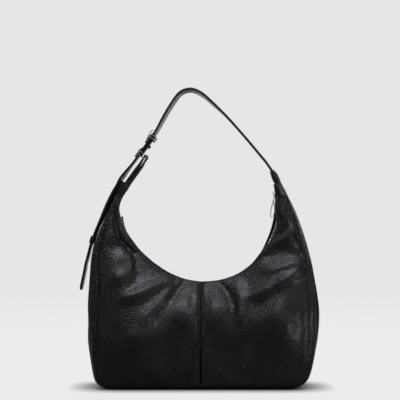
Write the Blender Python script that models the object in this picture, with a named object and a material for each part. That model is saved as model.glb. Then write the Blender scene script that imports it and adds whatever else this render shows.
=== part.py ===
"""Leather hobo bag: shell panels, lining, zip, hardware and shoulder strap.

Millimetres are used throughout and every mesh is written in metres.
X runs to the bag's right, Y to its back, Z up.  The origin is the middle of
the base, on the ground.

Degrees round the mouth are counted from the lowest point of its rim, left
negative.  In each half of the bag, s runs from 0 at the middle to 1 at the horn.
"""
import math
from bisect import bisect_right

import bmesh
import bpy
from mathutils import Vector

MM = 0.001
SHARP_ANGLE = math.radians(40)

# ------------------------------------------------------------------ sizes ----
LEATHER = 1.8               # outer leather thickness
SEAM_GAP = 0.2              # clearance either side of every seam
MIDDLE_GAP_S = 0.0009       # panels stop this far from the middle, as s
CORNER_GAP_S = 0.0005       # base and gusset stop this far from the corner, as s
LINING_IN = 3.6             # depth of the lining inside the shell's outer face
LINING_T = 0.6
LINING_FACE = LINING_IN + LINING_T
LINING_LIFT = 0.9           # lining starts this far below the panel's top edge
POCKET_GAP, POCKET_T = 0.5, 1.2
BOARD_IN, BOARD_T = 2.1, 1.2
BOARD_TRIM = 1.6            # taken off the board's half depth

MOUTH_CENTRE = (-1.0, 268.0)   # centre of the mouth's arc, X and Z
TIP_DEG = 106.0             # mouth arc from the middle of the rim to each tip
RIM_T = 1.5                 # binding thickness, measured away from the mouth
RIM_GAP = 0.3               # between the binding and the panel's edge
RIM_LAP = 0.3               # binding stands proud of the panel's outer face
RIM_END_S = 0.995
BULGE = 0.11                # fullness of a panel, as a share of its height
BULGE_SKEW = 0.8            # below 1 moves the fullest part up, towards the rim

# columns in each half of the bag, as s; COLUMNS[CORNER] is where base meets gusset
COLUMNS = (0.0, 0.08, 0.16, 0.24, 0.29, 0.32, 0.345, 0.375, 0.42,
           0.48, 0.55, 0.62, 0.69, 0.77, 0.85, 0.93, 1.0)
CORNER = 6
# rows of each skin: panels from rim to seam, base and gusset from front to back
PANEL_ROWS = (0.0, 0.12, 0.34, 0.58, 0.8, 1.0)
LINING_ROWS = (0.0, 0.15, 0.4, 0.7, 1.0)
POCKET_ROWS = (0.4, 0.7, 0.85)
BELT_ROWS = (-1.0, -0.9, -0.75, 0.0, 0.75, 0.9, 1.0)
BOARD_ROWS = (-0.74, 0.0, 0.74)
BELT_FLAT = 0.75            # share of the belt's half depth that is flat

# degrees round the mouth, mouth radius
MOUTH_RADIUS = (
    (-106, 107.0), (-100, 111.0), (-95, 115.0), (-88, 119.0), (-80, 117.5),
    (-70, 114.5), (-58, 111.0), (-35, 109.3), (0, 111.0), (32, 114.3),
    (50, 112.6), (66, 109.8), (85, 109.6), (98, 111.4), (106, 112.8))
# seam between panel and gusset, X and Z, from the middle of the base to the horn
SEAM_RIGHT = (
    (0, 7), (45, 7), (90, 7), (125, 7.3), (142, 9.5), (152, 17), (158, 32), (164, 62),
    (167, 95), (166, 130), (161, 165), (153, 195), (144, 220), (132, 252), (122, 281),
    (116.5, 301))
SEAM_LEFT = (
    (0, 7), (-45, 7), (-90, 7), (-122, 7.2), (-139, 8.8), (-148, 15), (-152, 28), (-155, 62),
    (-156, 100), (-155.5, 140), (-156, 172), (-154, 198), (-147, 222), (-133.5, 250),
    (-124.0, 275), (-112.5, 303))
# middle line of the base and gusset, X and Z, in the same order
EDGE_RIGHT = (
    (0, 0), (45, 0), (90, 0), (124, 0), (145, 2.2), (157, 11), (164, 29), (170, 62),
    (172, 98), (171, 133), (166.5, 165), (159.5, 195), (151, 222), (138.5, 256), (127, 284),
    (118.5, 300.5))
EDGE_LEFT = (
    (0, 0), (-45, 0), (-90, 0), (-124, 0), (-145, 1.8), (-156, 9), (-161, 27), (-166.5, 64),
    (-167, 100), (-165.6, 137), (-162.6, 172), (-158.5, 200), (-150.5, 228), (-139, 253),
    (-128, 279), (-114.8, 303.5))
# height, half depth of the bag at the seam
SEAM_DEPTH = ((0, 51), (30, 50.5), (70, 46.5), (115, 40.5), (160, 33), (205, 25.5),
              (250, 18), (305, 10.5))
# degrees either way round the mouth, half depth of the bag at the rim
RIM_DEPTH = ((0, 22.0), (35, 21.0), (65, 17.5), (90, 12.8), (110, 9.8))

ZIP_R = 116.0               # radius of the zip's chain about the mouth's centre
ZIP_FROM, ZIP_TO = -79.0, 102.5   # ends of the chain, degrees
TOOTH_PITCH_DEG = 6.0
TOOTH_SHARE = 0.45          # of each pitch
TAPE_INNER = 3.2            # tape's inner edge, from the bag's middle plane
TAPE_CLEARANCE = 2.0        # between the tape and the lining
SLIDER_DEG = 98.5           # where the slider rests, near the right end
SLIDER_LEN = 12.0
# the slider's eye lies between its bridge and its upper plate, towards the mouth's centre
BRIDGE_DROP, PLATE_DROP = 5.0, 2.9
EYE_R = ZIP_R - (BRIDGE_DROP + PLATE_DROP) / 2
EYE_SHIFT = 0.85            # pull and loop pins, either side of the eye's middle
PULL_TILT, LOOP_TILT = 24.0, 15.0   # degrees each hangs off the zip's line

STRAP_T, STRAP_W = 3.2, 22.0
STRAP_END_T = STRAP_T - 0.4
TAB_W = 22.0
TAB_HEAD_T = 5.8
SWING_LEFT = (-95.6, 318.9)    # fold line of the handle at each tab, X and Z
SWING_RIGHT = (103.5, 322.0)
RUN_START = (-98.3, 332.6)     # start of the straight run with hardware, X and Z
RUN_SLOPE = math.radians(54.3)
PRONG_AT = (39.0, 4.2)         # buckle bar, along the run and out from it
FRAME_ACROSS = (-14.0, -11.9, 11.9, 14.0)   # ring and buckle, front to back

# centre line of the handle from below the ring to the right tab, X and Z
STRAP_PATH = (
    (-105.9, 323.2), (-98.3, 332.6), (-82.4, 354.75), (-66.5, 376.9), (-56.9, 394.6),
    (-46.6, 412.4), (-34.7, 430.0), (-26.0, 437.0), (-16.0, 439.6), (-6.0, 437.3),
    (5.9, 430.0), (25.1, 412.4), (42.9, 394.6), (66.5, 368.0), (88.7, 341.4),
    (96.1, 332.6), (101.6, 324.6))
# centre line of the run along the left gusset, from bottom to top
LOWER_PATH = (
    (-162.4, 208.5), (-159.0, 219.5), (-152.8, 235.0), (-145.4, 252.7), (-137.9, 270.5),
    (-129.0, 288.0), (-123.6, 297.0), (-118.6, 307.0), (-111.0, 318.0))
# centre line of the loose end, from top to bottom
FREE_PATH = ((-163.3, 205.4), (-166.0, 193.0), (-169.2, 181.8), (-171.4, 170.0),
             (-174.0, 157.5), (-177.0, 143.0))
KEEPER_AT = 0.075           # place of the keeper, as a fraction of the lower run

SIDES = ((-1, "left"), (1, "right"))
FACES = ((-1, "front"), (1, "back"))


# ----------------------------------------------------------------- curves ----
def smooth(points, samples=24):
    """Catmull-Rom curve through the points, as a dense list of pairs."""
    points = list(points)
    curve = []
    for i in range(len(points) - 1):
        start, end = points[i], points[i + 1]
        before = points[i - 1] if i else [2 * start[n] - end[n] for n in (0, 1)]
        if i + 2 < len(points):
            after = points[i + 2]
        else:
            after = [2 * end[n] - start[n] for n in (0, 1)]
        for k in range(samples):
            t = k / samples
            curve.append(tuple(
                0.5 * (2 * start[n] + (end[n] - before[n]) * t
                       + (2 * before[n] - 5 * start[n] + 4 * end[n] - after[n]) * t * t
                       + (3 * start[n] - before[n] - 3 * end[n] + after[n]) * t ** 3)
                for n in (0, 1)))
    curve.append(tuple(float(value) for value in points[-1]))
    return curve


def interpolate(table, x):
    """Straight interpolation in a table of (x, value), held at its ends."""
    if x <= table[0][0]:
        return table[0][1]
    for (xa, ya), (xb, yb) in zip(table, table[1:]):
        if x <= xb:
            return ya + (yb - ya) * (x - xa) / (xb - xa)
    return table[-1][1]


def steps(start, stop, count):
    return [start + (stop - start) * k / count for k in range(count + 1)]


def midpoint(a, b):
    return (a[0] + b[0]) / 2, (a[1] + b[1]) / 2


def arc(centre, radius, start, stop, count):
    """Points of an arc, angles in degrees."""
    return [(centre[0] + radius * math.cos(math.radians(angle)),
             centre[1] + radius * math.sin(math.radians(angle)))
            for angle in steps(start, stop, count)]


def circle(centre, radius, count):
    return arc(centre, radius, 0, 360 - 360 / count, count - 1)


class Path:
    """A smooth curve in X and Z, addressed by the fraction of its own length."""

    def __init__(self, points):
        self.points = smooth(points)
        self.lengths = [0.0]
        for a, b in zip(self.points, self.points[1:]):
            self.lengths.append(self.lengths[-1] + math.hypot(b[0] - a[0], b[1] - a[1]))
        self.length = self.lengths[-1]

    def at(self, fraction):
        want = min(max(fraction, 0.0), 1.0) * self.length
        high = min(bisect_right(self.lengths, want), len(self.lengths) - 1)
        low = high - 1
        t = (want - self.lengths[low]) / (self.lengths[high] - self.lengths[low])
        a, b = self.points[low], self.points[high]
        return a[0] + (b[0] - a[0]) * t, a[1] + (b[1] - a[1]) * t

    def direction(self, fraction):
        reach = 0.004
        a, b = self.at(fraction - reach), self.at(fraction + reach)
        distance = math.hypot(b[0] - a[0], b[1] - a[1])
        return (b[0] - a[0]) / distance, (b[1] - a[1]) / distance


# ---------------------------------------------------- materials and objects ----
MATERIALS = {}
PIVOTS = {}     # name: (empty, its place in world millimetres)


def make_material(name, colour, roughness, metallic=0.0):
    made = bpy.data.materials.new(name)
    made.use_nodes = True
    inputs = made.node_tree.nodes["Principled BSDF"].inputs
    inputs["Base Color"].default_value = (*colour, 1.0)
    inputs["Roughness"].default_value = roughness
    inputs["Metallic"].default_value = metallic
    MATERIALS[name] = made


def make_materials():
    make_material("black_leather", colour=(0.012, 0.012, 0.013), roughness=0.42)
    make_material("bound_leather", colour=(0.010, 0.010, 0.011), roughness=0.40)
    make_material("silver_metal", colour=(0.72, 0.72, 0.73), roughness=0.18, metallic=1.0)
    make_material("dark_metal", colour=(0.10, 0.10, 0.11), roughness=0.3, metallic=1.0)
    make_material("zip_tape", colour=(0.012, 0.012, 0.013), roughness=0.85)
    make_material("lining_cloth", colour=(0.035, 0.034, 0.036), roughness=0.8)
    make_material("fibre_board", colour=(0.20, 0.15, 0.10), roughness=0.8)


def attach(ob, parent):
    """Link an object, hang it on its pivot and return the pivot's place."""
    bpy.context.scene.collection.objects.link(ob)
    if not parent:
        return Vector((0, 0, 0))
    ob.parent, place = PIVOTS[parent]
    return Vector(place)


def pivot(name, at, parent=None):
    """An empty on a joint's axis."""
    empty = bpy.data.objects.new(name, None)
    empty.location = (Vector(at) - attach(empty, parent)) * MM
    PIVOTS[name] = (empty, at)


def add(name, bm, material, parent=None):
    """Finish a mesh built in world millimetres and hang it on its pivot."""
    mesh = bpy.data.meshes.new(name)
    base = attach(bpy.data.objects.new(name, mesh), parent)
    bmesh.ops.recalc_face_normals(bm, faces=bm.faces[:])
    for v in bm.verts:
        v.co = (v.co - base) * MM
    bm.to_mesh(mesh)
    bm.free()
    mesh.shade_smooth()
    mesh.set_sharp_from_angle(angle=SHARP_ANGLE)
    mesh.materials.append(MATERIALS[material])


# ----------------------------------------------------------------- solids ----
def layer(us, vs, surface, outer, inner):
    """Quads over a grid; each corner is a (u, v) of the surface at two levels."""
    quads = []
    for ua, ub in zip(us, us[1:]):
        for va, vb in zip(vs, vs[1:]):
            corners = ((ua, va), (ub, va), (ub, vb), (ua, vb))
            quads.append([(surface(u, v, outer), surface(u, v, inner)) for u, v in corners])
    return quads


def thick(quads):
    """Closed solid from quads of (outer, inner) point pairs; equal corners are shared."""
    bm = bmesh.new()
    index, outer, inner = {}, [], []

    def vert(pair):
        key = tuple(round(c, 3) for c in pair[0])
        if key not in index:
            index[key] = len(outer)
            outer.append(bm.verts.new(pair[0]))
            inner.append(bm.verts.new(pair[1]))
        return index[key]

    used = {}
    for quad in quads:
        ids = [vert(pair) for pair in quad]
        bm.faces.new([outer[i] for i in ids])
        bm.faces.new([inner[i] for i in reversed(ids)])
        for a, b in zip(ids, ids[1:] + ids[:1]):
            used.setdefault(frozenset((a, b)), []).append((a, b))
    # an edge used once is on the border, and gets a wall
    for edges in used.values():
        if len(edges) == 1:
            a, b = edges[0]
            bm.faces.new((outer[b], outer[a], inner[a], inner[b]))
    return bm


# step to the neighbouring cell, corners of the face shared with it
CELL_FACES = (
    ((-1, 0, 0), ((0, 0, 0), (0, 0, 1), (0, 1, 1), (0, 1, 0))),
    ((1, 0, 0), ((1, 0, 0), (1, 1, 0), (1, 1, 1), (1, 0, 1))),
    ((0, -1, 0), ((0, 0, 0), (1, 0, 0), (1, 0, 1), (0, 0, 1))),
    ((0, 1, 0), ((0, 1, 0), (0, 1, 1), (1, 1, 1), (1, 1, 0))),
    ((0, 0, -1), ((0, 0, 0), (0, 1, 0), (1, 1, 0), (1, 0, 0))),
    ((0, 0, 1), ((0, 0, 1), (1, 0, 1), (1, 1, 1), (0, 1, 1))))


def cells(place, us, ys, ws, solid=lambda i, j, k: True):
    """Closed solid from the filled cells of a three-way grid."""
    bm = bmesh.new()
    verts = {}

    def vert(i, j, k):
        if (i, j, k) not in verts:
            verts[i, j, k] = bm.verts.new(place(us[i], ys[j], ws[k]))
        return verts[i, j, k]

    counts = (len(us) - 1, len(ys) - 1, len(ws) - 1)

    def filled(cell):
        return all(0 <= c < count for c, count in zip(cell, counts)) and solid(*cell)

    for i in range(counts[0]):
        for j in range(counts[1]):
            for k in range(counts[2]):
                if not filled((i, j, k)):
                    continue
                for (di, dj, dk), corners in CELL_FACES:
                    if not filled((i + di, j + dj, k + dk)):
                        bm.faces.new([vert(i + a, j + b, k + c) for a, b, c in corners])
    return bm


def plate(place, loops, y0, y1):
    """Flat shape with holes, drawn along Y from y0 to y1."""
    bm = bmesh.new()
    edges = []
    for loop in loops:
        verts = [bm.verts.new(place(u, y0, w)) for u, w in loop]
        edges += [bm.edges.new((verts[i - 1], verts[i])) for i in range(len(verts))]
    bmesh.ops.triangle_fill(bm, use_beauty=True, use_dissolve=False, edges=edges)
    made = bmesh.ops.extrude_face_region(bm, geom=bm.faces[:])["geom"]
    bmesh.ops.translate(bm, vec=(0, y1 - y0, 0),
                        verts=[g for g in made if isinstance(g, bmesh.types.BMVert)])
    return bm


def strip(path, width, count, start_t, end_t, round_start=False, round_end=False):
    """Flat leather following a path, with optional rounded ends."""
    length = path.length
    radius = width / 2
    end_rows = (1.6, 4.2, 8.0)      # extra rows this far from a rounded end
    clear = 11.0                    # regular rows are dropped nearer than this
    blunt = 0.7                     # the rounding starts this far in, so the tip has width
    us = steps(0.0, 1.0, count)
    if round_start:
        us = ([0.0] + [d / length for d in end_rows]
              + [u for u in us if u * length > clear])
    if round_end:
        us = ([u for u in us if (1 - u) * length > clear]
              + [1 - d / length for d in reversed(end_rows)] + [1.0])

    def rounded(distance):
        inward = min(distance + blunt, radius)
        return math.sqrt(radius * radius - (radius - inward) ** 2)

    def surface(u, v, out):
        half_width = radius
        if round_start:
            half_width = min(half_width, rounded(u * length))
        if round_end:
            half_width = min(half_width, rounded((1 - u) * length))
        x, z = path.at(u)
        dx, dz = path.direction(u)
        offset = (start_t + (end_t - start_t) * u) / 2 * out
        return x - dz * offset, v * half_width, z + dx * offset

    return thick(layer(us, (-1.0, 0.0, 1.0), surface, 1, -1))


# --------------------------------------------------------- the bag's skins ----
MOUTH_CURVE = smooth(MOUTH_RADIUS, 8)


def round_mouth(deg, radius):
    """X and Z at a radius from the mouth's centre."""
    angle = math.radians(deg - 90)
    return (MOUTH_CENTRE[0] + radius * math.cos(angle),
            MOUTH_CENTRE[1] + radius * math.sin(angle))


class Half:
    """One half of the bag, side +1 right or -1 left."""

    def __init__(self, side, seam, edge):
        self.side = side
        self.seam = Path(seam)
        self.edge = Path(edge)

    def mouth(self, s, lift=0.0):
        """Top edge of the panel; lift moves it away from the mouth's centre."""
        deg = self.side * TIP_DEG * s
        return round_mouth(deg, interpolate(MOUTH_CURVE, deg) + RIM_T + RIM_GAP + lift)

    def inset_point(self, path, s, inset):
        x, z = path.at(s)
        dx, dz = path.direction(s)
        return x - self.side * dz * inset, z + self.side * dx * inset

    def seam_point(self, s, inset):
        return self.inset_point(self.seam, s, inset)

    def edge_point(self, s, inset):
        x, z = self.inset_point(self.edge, s, inset)
        return x, max(z, inset)

    def depth(self, s):
        return interpolate(SEAM_DEPTH, self.seam.at(s)[1])

    def panel(self, s, t, inset, face, trim=0.0, lift=0.0):
        """Front (face -1) or back (face +1) panel; t runs from rim to seam."""
        top = self.mouth(s, lift)
        foot = self.seam_point(s, inset + trim)
        x = top[0] + (foot[0] - top[0]) * t
        z = top[1] + (foot[1] - top[1]) * t
        rim = interpolate(RIM_DEPTH, TIP_DEG * s)
        full = BULGE * math.hypot(foot[0] - top[0], foot[1] - top[1])
        y = rim + (self.depth(s) - rim) * t + full * math.sin(math.pi * t ** BULGE_SKEW)
        return x, face * (y - inset), z

    def belt(self, s, w, inset, trim=0.0):
        """Base and gusset between the panels; w runs from -1 front to 1 back."""
        seam = self.seam_point(s, inset)
        edge = self.edge_point(s, inset)
        q = max(abs(w) - BELT_FLAT, 0.0) / (1.0 - BELT_FLAT)
        f = 1.0 - q * q
        return (seam[0] + (edge[0] - seam[0]) * f,
                w * (self.depth(s) - inset - trim),
                seam[1] + (edge[1] - seam[1]) * f)


HALVES = {1: Half(1, SEAM_RIGHT, EDGE_RIGHT), -1: Half(-1, SEAM_LEFT, EDGE_LEFT)}


def columns(first=0.0, last=1.0):
    return [first] + list(COLUMNS[1:-1]) + [last]


def panel_quads(side, face, us, rows, outer, inner, trim=0.0, lift=0.0):
    def surface(s, t, inset):
        return HALVES[side].panel(s, t, inset, face, trim, lift)
    return layer(us, rows, surface, outer, inner)


def belt_quads(side, us, rows, outer, inner, trim=0.0):
    def surface(s, w, inset):
        return HALVES[side].belt(s, w, inset, trim)
    return layer(us, rows, surface, outer, inner)


def build_shell():
    for side, side_name in SIDES:
        for face, face_name in FACES:
            add(f"{face_name}_panel_{side_name}",
                thick(panel_quads(side, face, columns(MIDDLE_GAP_S), PANEL_ROWS,
                                  0.0, LEATHER, SEAM_GAP)), "black_leather")
        us = [COLUMNS[CORNER] + CORNER_GAP_S] + list(COLUMNS[CORNER + 1:])
        add("gusset_" + side_name,
            thick(belt_quads(side, us, BELT_ROWS, 0.0, LEATHER, SEAM_GAP)), "black_leather")


def build_base():
    """Base panel, and the stiff board that lies on it."""
    panel, board = [], []
    panel_us = list(COLUMNS[:CORNER]) + [COLUMNS[CORNER] - CORNER_GAP_S]
    for side in (1, -1):
        panel += belt_quads(side, panel_us, BELT_ROWS, 0.0, LEATHER, SEAM_GAP)
        board += belt_quads(side, COLUMNS[:CORNER - 2], BOARD_ROWS,
                            BOARD_IN, BOARD_IN + BOARD_T, BOARD_TRIM)
    add("base_panel", thick(panel), "black_leather")
    add("base_board", thick(board), "fibre_board")


def build_lining():
    """One bag inside the bag, stopping short of the horns."""
    lined = COLUMNS[:-2]
    quads = []
    for side in (1, -1):
        for face in (-1, 1):
            quads += panel_quads(side, face, lined, LINING_ROWS,
                                 LINING_IN, LINING_FACE, lift=LINING_LIFT)
        quads += belt_quads(side, lined, BELT_ROWS, LINING_IN, LINING_FACE)
    add("lining", thick(quads), "lining_cloth")


def build_pocket():
    """Slip pocket on the back of the lining."""
    outer = LINING_FACE + POCKET_GAP
    quads = []
    for side in (1, -1):
        quads += panel_quads(side, 1, COLUMNS[:3], POCKET_ROWS,
                             outer, outer + POCKET_T, lift=LINING_LIFT)
    add("slip_pocket", thick(quads), "lining_cloth")


def build_rim_bindings():
    right = columns(0.0, RIM_END_S)
    us = [-s for s in reversed(right[1:])] + right
    for face, face_name in FACES:
        def rim_point(u, y, lift):
            x, z = HALVES[1 if u >= 0 else -1].mouth(abs(u), lift)
            return x, face * (interpolate(RIM_DEPTH, TIP_DEG * abs(u)) + y), z
        add("rim_binding_" + face_name,
            cells(rim_point, us, [-LINING_FACE - RIM_LAP, RIM_LAP],
                  [-RIM_T - RIM_GAP, -RIM_GAP]), "bound_leather")


# -------------------------------------------------------------------- zip ----
def on_track(deg, y, radius):
    x, z = round_mouth(deg, radius)
    return x, y, z


def tape_reach(deg):
    """Half width of the lined bag at the zip's radius, less the clearance."""
    half = HALVES[1 if deg >= 0 else -1]
    s = abs(deg) / TIP_DEG
    top, foot = half.mouth(s), half.seam_point(s, LINING_FACE)
    radius = math.hypot(top[0] - MOUTH_CENTRE[0], top[1] - MOUTH_CENTRE[1])
    height = math.hypot(foot[0] - top[0], foot[1] - top[1])
    t = max(ZIP_R - radius, 0.0) / max(height, 1.0)
    return half.panel(s, t, LINING_FACE, 1)[1] - TAPE_CLEARANCE


def build_zip_tapes():
    for face, face_name in FACES:
        def surface(u, v, radius):
            y = TAPE_INNER + v * (tape_reach(u) - TAPE_INNER)
            return on_track(u, face * y, radius)
        add("zip_tape_" + face_name,
            thick(layer(steps(ZIP_FROM - 3.0, ZIP_TO + 2.5, 24), (0.0, 1.0), surface,
                        ZIP_R + 0.1, ZIP_R + 0.7)), "zip_tape")


def build_zip_teeth():
    """Each row is a continuous back strip with teeth towards the middle plane."""
    us = [ZIP_FROM]
    while us[-1] + TOOTH_PITCH_DEG < ZIP_TO:
        us += [us[-1] + TOOTH_PITCH_DEG * TOOTH_SHARE, us[-1] + TOOTH_PITCH_DEG]
    for face, face_name in FACES:
        add("zip_teeth_" + face_name,
            cells(lambda u, y, radius: on_track(u, face * y, radius),
                  us, [0.6, 1.9, 2.9], [ZIP_R - 0.8, ZIP_R + 0.8],
                  lambda i, j, k: j == 1 or i % 2 == 0), "silver_metal")


def build_zip_stops():
    for end_name, start, stop in (("left", ZIP_FROM - 3.0, ZIP_FROM - 0.5),
                                  ("right", ZIP_TO + 0.3, ZIP_TO + 2.3)):
        add("zip_stop_" + end_name,
            cells(on_track, [start, stop], [-2.8, 2.8], [ZIP_R - 1.0, ZIP_R + 0.8]),
            "silver_metal")


def build_slider():
    """Two plates joined by a wedge, with a bridge over the upper one."""
    half = math.degrees(SLIDER_LEN / 2 / ZIP_R)
    degs = [SLIDER_DEG + half * k for k in (-1.0, -0.62, -0.28, 0.28, 0.62, 1.0)]
    ys = [-4.4, -1.6, -0.3, 0.3, 1.6, 4.4]
    radii = [ZIP_R - 6.4, ZIP_R - BRIDGE_DROP, ZIP_R - PLATE_DROP,
             ZIP_R - 1.2, ZIP_R + 1.2, ZIP_R + 2.3]

    def solid(i, j, k):
        if k == 0:      # bridge
            return 1 <= j <= 3 and 1 <= i <= 3
        if k == 1:      # bridge posts
            return 1 <= j <= 3 and i in (1, 3)
        if k == 3:      # wedge
            return j == 2 and i == 2
        return True     # plates

    pivot("zip_slide_pivot", (MOUTH_CENTRE[0], 0.0, MOUTH_CENTRE[1]))
    add("zip_slider", cells(on_track, degs, ys, radii, solid), "silver_metal",
        "zip_slide_pivot")


def eye_point(direction):
    """Pin in the slider's eye, shifted along the zip (+1 to the closed end, -1 back)."""
    return on_track(SLIDER_DEG + direction * math.degrees(EYE_SHIFT / EYE_R), 0.0, EYE_R)


def hanging(at, tilt_deg):
    """Place u along and w beside a piece that runs back along the zip from a point,
    tilted towards the mouth's centre."""
    angle = math.radians(SLIDER_DEG - 90)
    outward = (math.cos(angle), math.sin(angle))
    back = (math.sin(angle), -math.cos(angle))
    tilt = math.radians(tilt_deg)
    dx, dz = (back[n] * math.cos(tilt) - outward[n] * math.sin(tilt) for n in (0, 1))
    return lambda u, y, w: (at[0] + dx * u - dz * w, y, at[2] + dz * u + dx * w)


def build_pull():
    """A pin in the slider's eye, two cheeks, a cross bar and a stepped tail."""
    def solid(i, j, k):
        return (i in (0, 2) or (i == 1 and j in (0, 4))
                or (i == 3 and 1 <= j <= 3) or (i == 4 and j == 2))

    at = eye_point(-1)
    pivot("zip_pull_pivot", at, "zip_slide_pivot")
    add("zip_pull",
        cells(hanging(at, PULL_TILT), [-0.5, 0.5, 6.4, 8.2, 20.5, 22.6],
              [-3.1, -1.9, -1.0, 1.0, 1.9, 3.1], [-0.5, 0.5], solid),
        "silver_metal", "zip_pull_pivot")


def build_loop():
    """A pin, a stem behind the pull and a long open loop."""
    narrowing = {13.0: 0.45, 15.5: 0.75, 33.5: 0.8, 35.5: 0.5}   # along: share of width
    stem = 0.5      # half thickness of the stem, never narrowed
    at = eye_point(1)
    hang = hanging(at, LOOP_TILT)

    def place(u, y, w):
        return hang(u, y, w * (narrowing.get(u, 1.0) if abs(w) > stem else 1.0))

    def solid(i, j, k):
        if i <= 2:      # pin and stem
            return k == 2 and (j == 1 or i == 0)
        return j == 1 and (i in (3, 5) or k in (0, 4))

    pivot("zip_loop_pivot", at, "zip_slide_pivot")
    add("zip_loop",
        cells(place, [-stem, stem, 7.0, 13.0, 15.5, 33.5, 35.5], [-1.8, 3.5, 4.6],
              [-3.4, -2.2, -stem, stem, 2.2, 3.4], solid),
        "silver_metal", "zip_loop_pivot")


# ------------------------------------------------- hardware on the handle ----
SWING = "strap_swing_pivot"


def on_run(u, y, w):
    """u up the straight run of the handle, w out from it, away from the bag."""
    c, s = math.cos(RUN_SLOPE), math.sin(RUN_SLOPE)
    return RUN_START[0] + c * u - s * w, y, RUN_START[1] + s * u + c * w


def run_frame(name, us, ws, bars):
    """Flat frame over the strap with cross bars, and a loop under it at the third step."""
    def solid(i, j, k):
        if k == 2:
            return i in bars or j in (0, 2)
        return i == 2 and (j in (0, 2) or k == 0)
    add(name, cells(on_run, us, FRAME_ACROSS, ws, solid), "silver_metal", SWING)


def build_ring():
    """Strap ring, and the slotted leather tab that holds its bar."""
    widths = {-7.6: 0.34, -5.9: 0.62, -3.2: 0.86}   # along: share of width

    def place(u, y, w):
        return on_run(u, y * TAB_W / 2 * widths.get(u, 1.0), w)

    add("ring_tab",
        cells(place, [-7.6, -5.9, -3.2, 1.5, 13.0, 17.0, 19.4], [-1.0, 0.0, 1.0],
              [-14.3, -12.4, -8.6, -6.2], lambda i, j, k: not (i == 4 and k == 1)),
        "bound_leather", SWING)
    run_frame("strap_ring", [7.3, 9.7, 13.8, 16.2, 20.3, 22.7], [-11.7, -9.3, 2.1, 4.3],
              bars=(0, 2, 4))


def build_chape():
    """Leather strip under the handle, with a small stud below it."""
    add("strap_chape", cells(on_run, [11.0, 48.6, 50.0], [-10.5, 10.5], [-4.6, -1.9]),
        "bound_leather", SWING)
    add("chape_stud", cells(on_run, [29.2, 31.8], [-1.6, 1.6], [-6.4, -4.9]),
        "dark_metal", SWING)


def build_buckle():
    along, out = PRONG_AT
    run_frame("buckle_frame", [33.4, 35.6, 44.8, 47.2, 48.6], [-7.2, -5.2, 2.1, 4.3],
              bars=(0, 2, 3))
    bar_half = 0.9
    add("buckle_bar",
        cells(on_run, [along - bar_half, along + bar_half], [-11.6, 11.6],
              [out - bar_half, out + bar_half]), "silver_metal", SWING)
    # the prong's eye wraps the bar; its arm lies over the frame and ends in a point
    arm = [(along + 1.9, 5.0), (52.5, 5.0), (56.6, 3.4), (57.2, 4.5), (53.0, 6.3),
           (along + 0.4, 6.3)]
    outline = arm + arc(PRONG_AT, 2.05, 115, 325, 9)
    pivot("prong_pivot", on_run(along, 0.0, out), SWING)
    add("buckle_prong", plate(on_run, [outline, circle(PRONG_AT, 1.45, 10)], -1.2, 1.2),
        "silver_metal", "prong_pivot")


# --------------------------------------------------------- tabs and straps ----
def horn_middle(side):
    """Middle of the bag's tip, between the panel's top edge and the gusset."""
    return midpoint(HALVES[side].mouth(1.0), HALVES[side].edge_point(1.0, 0.0))


def build_tabs():
    """Tapered tabs from the horns up to the handle's fold lines."""
    x, z = horn_middle(1)
    foot = (x - 0.3, z + 2.4)
    head = (SWING_RIGHT[0] + 1.9, SWING_RIGHT[1] - 2.8)
    add("tab_right", strip(Path((foot, (109.6, 310.5), head)), TAB_W, 6,
                           start_t=8.6, end_t=TAB_HEAD_T, round_end=True), "bound_leather")
    x, z = horn_middle(-1)
    foot = (x + 1.4, z + 2.2)
    head = (SWING_LEFT[0] - 2.6, SWING_LEFT[1] - 3.6)
    add("tab_left", strip(Path((foot, midpoint(foot, head), head)), TAB_W, 5,
                          start_t=10.0, end_t=TAB_HEAD_T, round_end=True), "bound_leather")


def build_straps():
    """The swinging arch, the fixed lower run and the loose end."""
    add("strap", strip(Path(STRAP_PATH), STRAP_W, 34, STRAP_T, STRAP_T,
                       round_start=True, round_end=True), "black_leather", SWING)
    add("strap_lower_run", strip(Path(LOWER_PATH), STRAP_W, 12, STRAP_T, STRAP_T,
                                 round_end=True), "black_leather")
    pivot("strap_end_pivot", (FREE_PATH[0][0], 0.0, FREE_PATH[0][1]))
    add("strap_end", strip(Path(FREE_PATH), STRAP_W, 6, STRAP_END_T, STRAP_END_T,
                           round_end=True), "black_leather", "strap_end_pivot")


def build_keeper():
    """Loop round the lower run, open towards the left gusset."""
    lower = Path(LOWER_PATH)
    x, z = lower.at(KEEPER_AT)
    dx, dz = lower.direction(KEEPER_AT)
    add("strap_keeper",
        cells(lambda u, y, w: (x + dx * u - dz * w, y, z + dz * u + dx * w),
              [-5.0, 5.0], [-13.2, -11.5, 11.5, 13.2], [-1.0, 2.0, 3.4],
              lambda i, j, k: k == 1 or j in (0, 2)), "bound_leather")


def build():
    for ob in list(bpy.data.objects):
        bpy.data.objects.remove(ob, do_unlink=True)
    make_materials()

    build_shell()
    build_base()
    build_lining()
    build_pocket()
    build_rim_bindings()

    build_zip_tapes()
    build_zip_teeth()
    build_zip_stops()
    build_slider()
    build_pull()
    build_loop()

    build_tabs()
    swing_x, swing_z = midpoint(SWING_LEFT, SWING_RIGHT)
    pivot(SWING, (swing_x, 0.0, swing_z))
    build_ring()
    build_chape()
    build_buckle()
    build_straps()
    build_keeper()


if __name__ == "__main__":
    build()
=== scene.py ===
"""Black leather hobo bag: crescent body, curved zip mouth and a buckled shoulder strap.

The bag stands on the floor at z = 0. X runs to the right, -Y is the front and Z is up.
Shapes are in millimetres; new_mesh turns them into metres. In all the code side is -1 for
the left half and 1 for the right, and face is -1 for the front and 1 for the back.
"""

import math

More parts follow.
